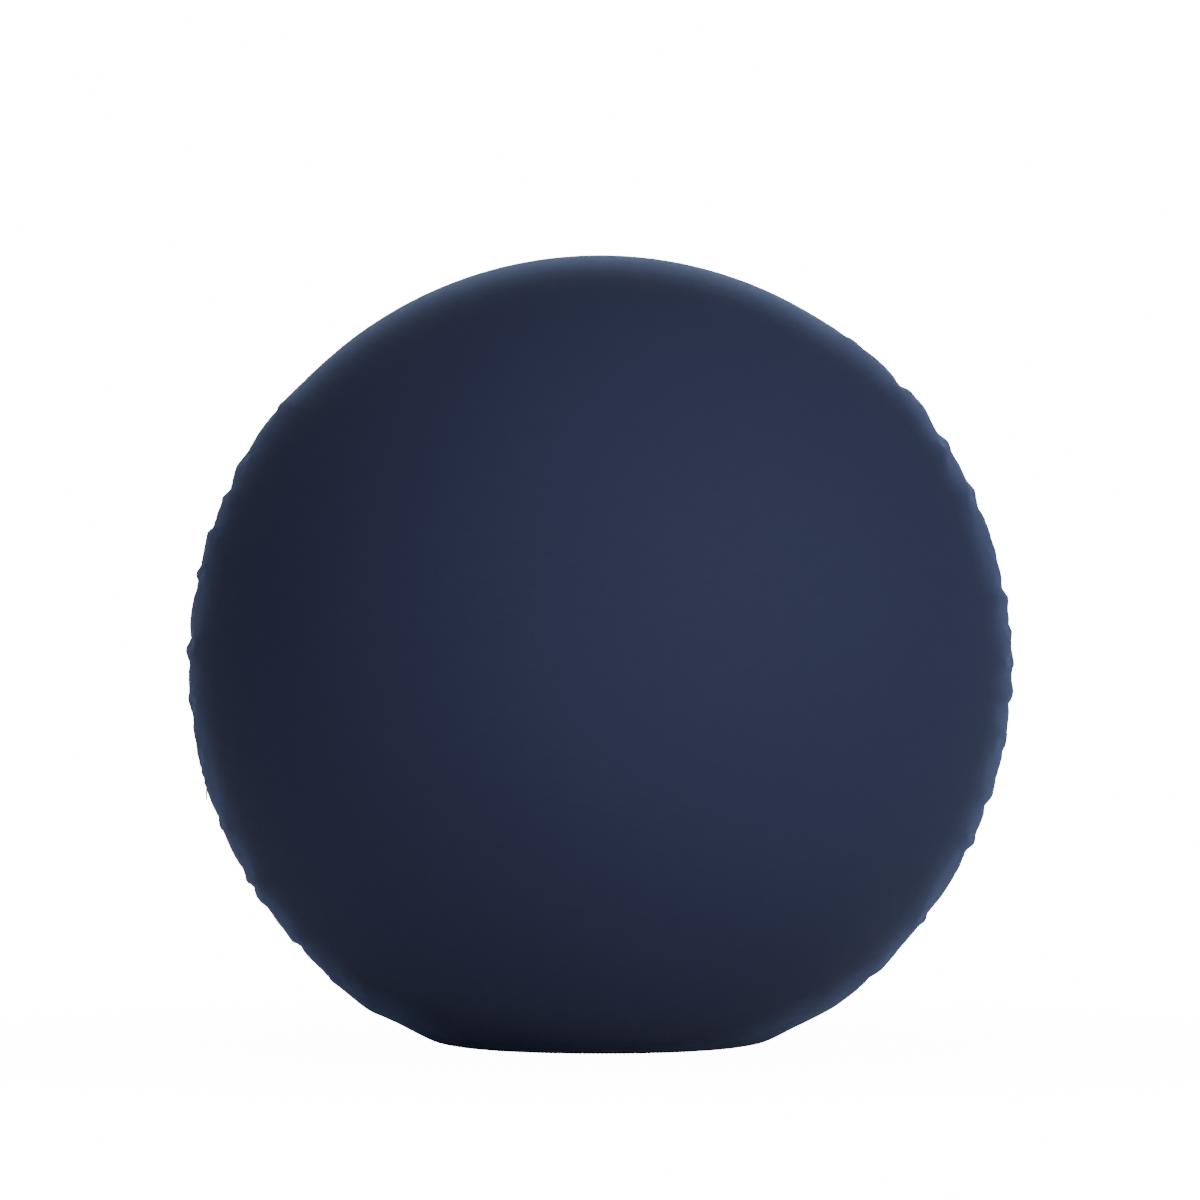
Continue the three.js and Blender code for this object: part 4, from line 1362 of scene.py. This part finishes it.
def bladder_shell(box):
    """The inflated bladder: a closed outer skin with an inner skin turned to face the air inside."""
    low, high = box
    radius, wall = high.z - CENTRE, 1.0 * MM
    skins = [lathe(f"bladder_skin_{k}", bladder_skin(radius, low.z, k * wall), None) for k in (0, 1)]
    work = bmesh.new()
    work.from_mesh(skins[1].data)
    bmesh.ops.reverse_faces(work, faces=work.faces[:])
    work.from_mesh(skins[0].data)
    mesh = bpy.data.meshes.new("inflated_bladder")
    work.to_mesh(mesh)
    work.free()
    for skin in skins:
        bpy.data.objects.remove(skin)
    return link_mesh("inflated_bladder", mesh, bladder_vinyl())


def cut_valve_hole(bladder):
    """Cuts the round hole for the valve's neck through the bladder's wall."""
    seat = corners("valve_seat")
    middle = Vector((0, 0, CENTRE))
    aim = (Vector((seat.min(0) + seat.max(0)) / 2) - middle).normalized()
    bpy.ops.mesh.primitive_cylinder_add(vertices=48, radius=8.3 * MM, depth=30 * MM)
    cutter = bpy.context.active_object
    cutter.rotation_mode = "QUATERNION"
    cutter.rotation_quaternion = aim.to_track_quat("Z", "Y")
    cutter.location = middle + aim * (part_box("bladder")[1].z - CENTRE)
    cut = bladder.modifiers.new("Valve hole", "BOOLEAN")
    cut.object, cut.operation, cut.solver = cutter, "DIFFERENCE", "EXACT"
    bake_modifiers(bladder)
    bpy.data.objects.remove(cutter)


class SEAT_OT_inside(bpy.types.Operator):
    """Makes what is inside: the bladder, pad and side binding, and the finish of the valve, plate and ring"""

    bl_idname = "seat.inside"
    bl_label = "Bladder, pad, plate and ring"

    def execute(self, context):
        bladder = bladder_shell(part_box("bladder"))
        cut_valve_hole(bladder)
        finish_piece(bladder, cad="bladder")
        low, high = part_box("plate_pad")
        edge = [(high.x - 1.2 * MM, low.z), (high.x - 0.3 * MM, low.z + 0.5 * MM),
                (high.x, low.z + 1.8 * MM), (high.x - 0.1 * MM, high.z - 1.6 * MM),
                (high.x - 0.8 * MM, high.z - 0.4 * MM), (high.x - 2.2 * MM, high.z)]
        section = [(0, low.z), *edge, (high.x * 0.5, high.z), (0, high.z)]
        pad = lathe("foam_pad", section, pad_foam())
        finish_piece(pad, cad="plate_pad")
        radii, _, ys = ring_of("side_seam_binding")
        points = corners("side_seam_binding")
        turn = np.degrees(np.arctan2(points[:, 2] - CENTRE, points[:, 0]))
        turn = (turn + 90) % 360 - 90
        section = rounded_section((ys[0], radii[0] + SETTLE), (ys[1], radii[1]), 0.3 * MM)
        binding = seam_band("side_binding_tape", section, turn.min(), turn.max(), binding_cloth())
        finish_piece(binding, cad="side_seam_binding")
        for cad, material in (("valve_seat", valve_plastic()), ("valve_plug", valve_plastic()),
                              ("base_plate", plate_plastic()), ("ballast_ring", ring_steel())):
            repaint(cad, material)
        return {"FINISHED"}


class SEAT_OT_stage(bpy.types.Operator):
    """Sets up the floor, the backdrop, the soft lights and the camera"""

    bl_idname = "seat.stage"
    bl_label = "Stage and camera"

    def execute(self, context):
        stage, scene = context.scene.seat_stage, context.scene
        world = bpy.data.worlds.new("studio")
        scene.world = world
        world.use_nodes = True
        tree = world.node_tree
        tree.nodes.clear()
        seen, even = node(tree, "ShaderNodeBackground"), node(tree, "ShaderNodeBackground")
        even.inputs["Color"].default_value = (0.92, 0.95, 1.0, 1)
        even.inputs["Strength"].default_value = stage.sky
        seen.inputs["Color"].default_value = (1, 1, 1, 1)
        seen.inputs["Strength"].default_value = stage.white
        rays, mix, out = (node(tree, "ShaderNodeLightPath"), node(tree, "ShaderNodeMixShader"),
                          node(tree, "ShaderNodeOutputWorld"))
        tree.links.new(rays.outputs["Is Camera Ray"], mix.inputs[0])
        tree.links.new(even.outputs[0], mix.inputs[1])
        tree.links.new(seen.outputs[0], mix.inputs[2])
        tree.links.new(mix.outputs[0], out.inputs[0])
        rings = [(radius, 0) for radius in (0, 0.4, 1, 4, 60)]
        lathe("floor", rings, floor_material(stage), 96, False)
        middle = Vector((0, 0, CENTRE))
        for name, where, size, power, colour in (
            ("key", (2.0, -3.0, 2.4), 2.4, stage.key_power, (1.0, 0.98, 0.98)),
            ("fill", (0.5, -3.6, 1.0), 2.0, stage.fill_power, (1.0, 0.99, 1.0)),
            ("back", (-0.05, 3.0, 1.05), 2.0, stage.back_power, (0.62, 0.77, 1.0)),
        ):
            data = bpy.data.lights.new("light_" + name, "AREA")
            data.shape, data.size, data.energy, data.color = "SQUARE", size, power, colour
            lamp = bpy.data.objects.new("light_" + name, data)
            scene.collection.objects.link(lamp)
            lamp.location = where
            lamp.rotation_euler = (middle - lamp.location).to_track_quat("-Z", "Y").to_euler()
            lamp.visible_camera = False
        data = bpy.data.cameras.new("camera")
        data.lens, data.sensor_width, data.clip_end = stage.lens, 36, 200
        camera = bpy.data.objects.new("camera", data)
        scene.collection.objects.link(camera)
        camera.location = (0, -stage.camera_distance, stage.camera_height)
        camera.rotation_euler = (math.radians(90), 0, 0)
        bpy.context.scene.camera = camera
        return {"FINISHED"}


def floor_material(stage):
    """A white floor that takes soft shadows near the seat and melts into the backdrop further out."""
    material = bpy.data.materials.new("white floor")
    material.use_nodes = True
    tree = material.node_tree
    shader, out = tree.nodes["Principled BSDF"], tree.nodes["Material Output"]
    shader.inputs["Base Color"].default_value = (0.9, 0.9, 0.91, 1)
    shader.inputs["Roughness"].default_value = 0.9
    glow, far, rays = (node(tree, "ShaderNodeEmission"), node(tree, "ShaderNodeMapRange"),
                       node(tree, "ShaderNodeLightPath"))
    glow.inputs["Strength"].default_value = stage.white
    place, reach = node(tree, "ShaderNodeTexCoord"), node(tree, "ShaderNodeVectorMath", operation="LENGTH")
    tree.links.new(place.outputs["Object"], reach.inputs[0])
    tree.links.new(reach.outputs["Value"], far.inputs["Value"])
    far.inputs["From Min"].default_value, far.inputs["From Max"].default_value = 0.2, 0.7
    far.interpolation_type = "SMOOTHSTEP"
    far.inputs["To Min"].default_value = 0.9
    share = math_node(tree, "MULTIPLY", far.outputs[0], rays.outputs["Is Camera Ray"])
    mix = node(tree, "ShaderNodeMixShader")
    tree.links.new(share, mix.inputs[0])
    tree.links.new(shader.outputs[0], mix.inputs[1])
    tree.links.new(glow.outputs[0], mix.inputs[2])
    tree.links.new(mix.outputs[0], out.inputs[0])
    return material


# ---------------------------------------------------------------- panel and registration


STEPS = (SEAT_OT_cover, SEAT_OT_seam_stitches, SEAT_OT_zip_cloth, SEAT_OT_zip_teeth, SEAT_OT_zip_hardware,
         SEAT_OT_base, SEAT_OT_inside, SEAT_OT_stage)
SETTINGS = (("seat_cover", SeatCoverSettings), ("seat_zip", SeatZipSettings),
            ("seat_base", SeatBaseSettings), ("seat_stage", SeatStageSettings))


class SEAT_PT_panel(bpy.types.Panel):
    """Lists the seat's sizes and the steps that build it"""

    bl_idname = "SEAT_PT_panel"
    bl_label = "Ball seat"
    bl_space_type = "VIEW_3D"
    bl_region_type = "UI"
    bl_category = "Ball seat"

    def draw(self, context):
        for step in STEPS:
            self.layout.operator(step.bl_idname, text=step.bl_label)
        for name, group in SETTINGS:
            box = self.layout.box()
            for key in group.__annotations__:
                box.prop(getattr(context.scene, name), key)


def register():
    for name, group in SETTINGS:
        bpy.utils.register_class(group)
        setattr(bpy.types.Scene, name, PointerProperty(type=group))
    for step in (*STEPS, SEAT_PT_panel):
        bpy.utils.register_class(step)


def unregister():
    for step in (*STEPS, SEAT_PT_panel):
        bpy.utils.unregister_class(step)
    for name, group in SETTINGS:
        delattr(bpy.types.Scene, name)
        bpy.utils.unregister_class(group)


def main():
    """Builds the seat step by step."""
    register()
    bpy.ops.seat.cover()
    bpy.ops.seat.seam_stitches()
    bpy.ops.seat.zip_cloth()
    bpy.ops.seat.zip_teeth()
    bpy.ops.seat.zip_hardware()
    bpy.ops.seat.base()
    bpy.ops.seat.inside()
    bpy.ops.seat.stage()


if __name__ == "__main__":
    main()
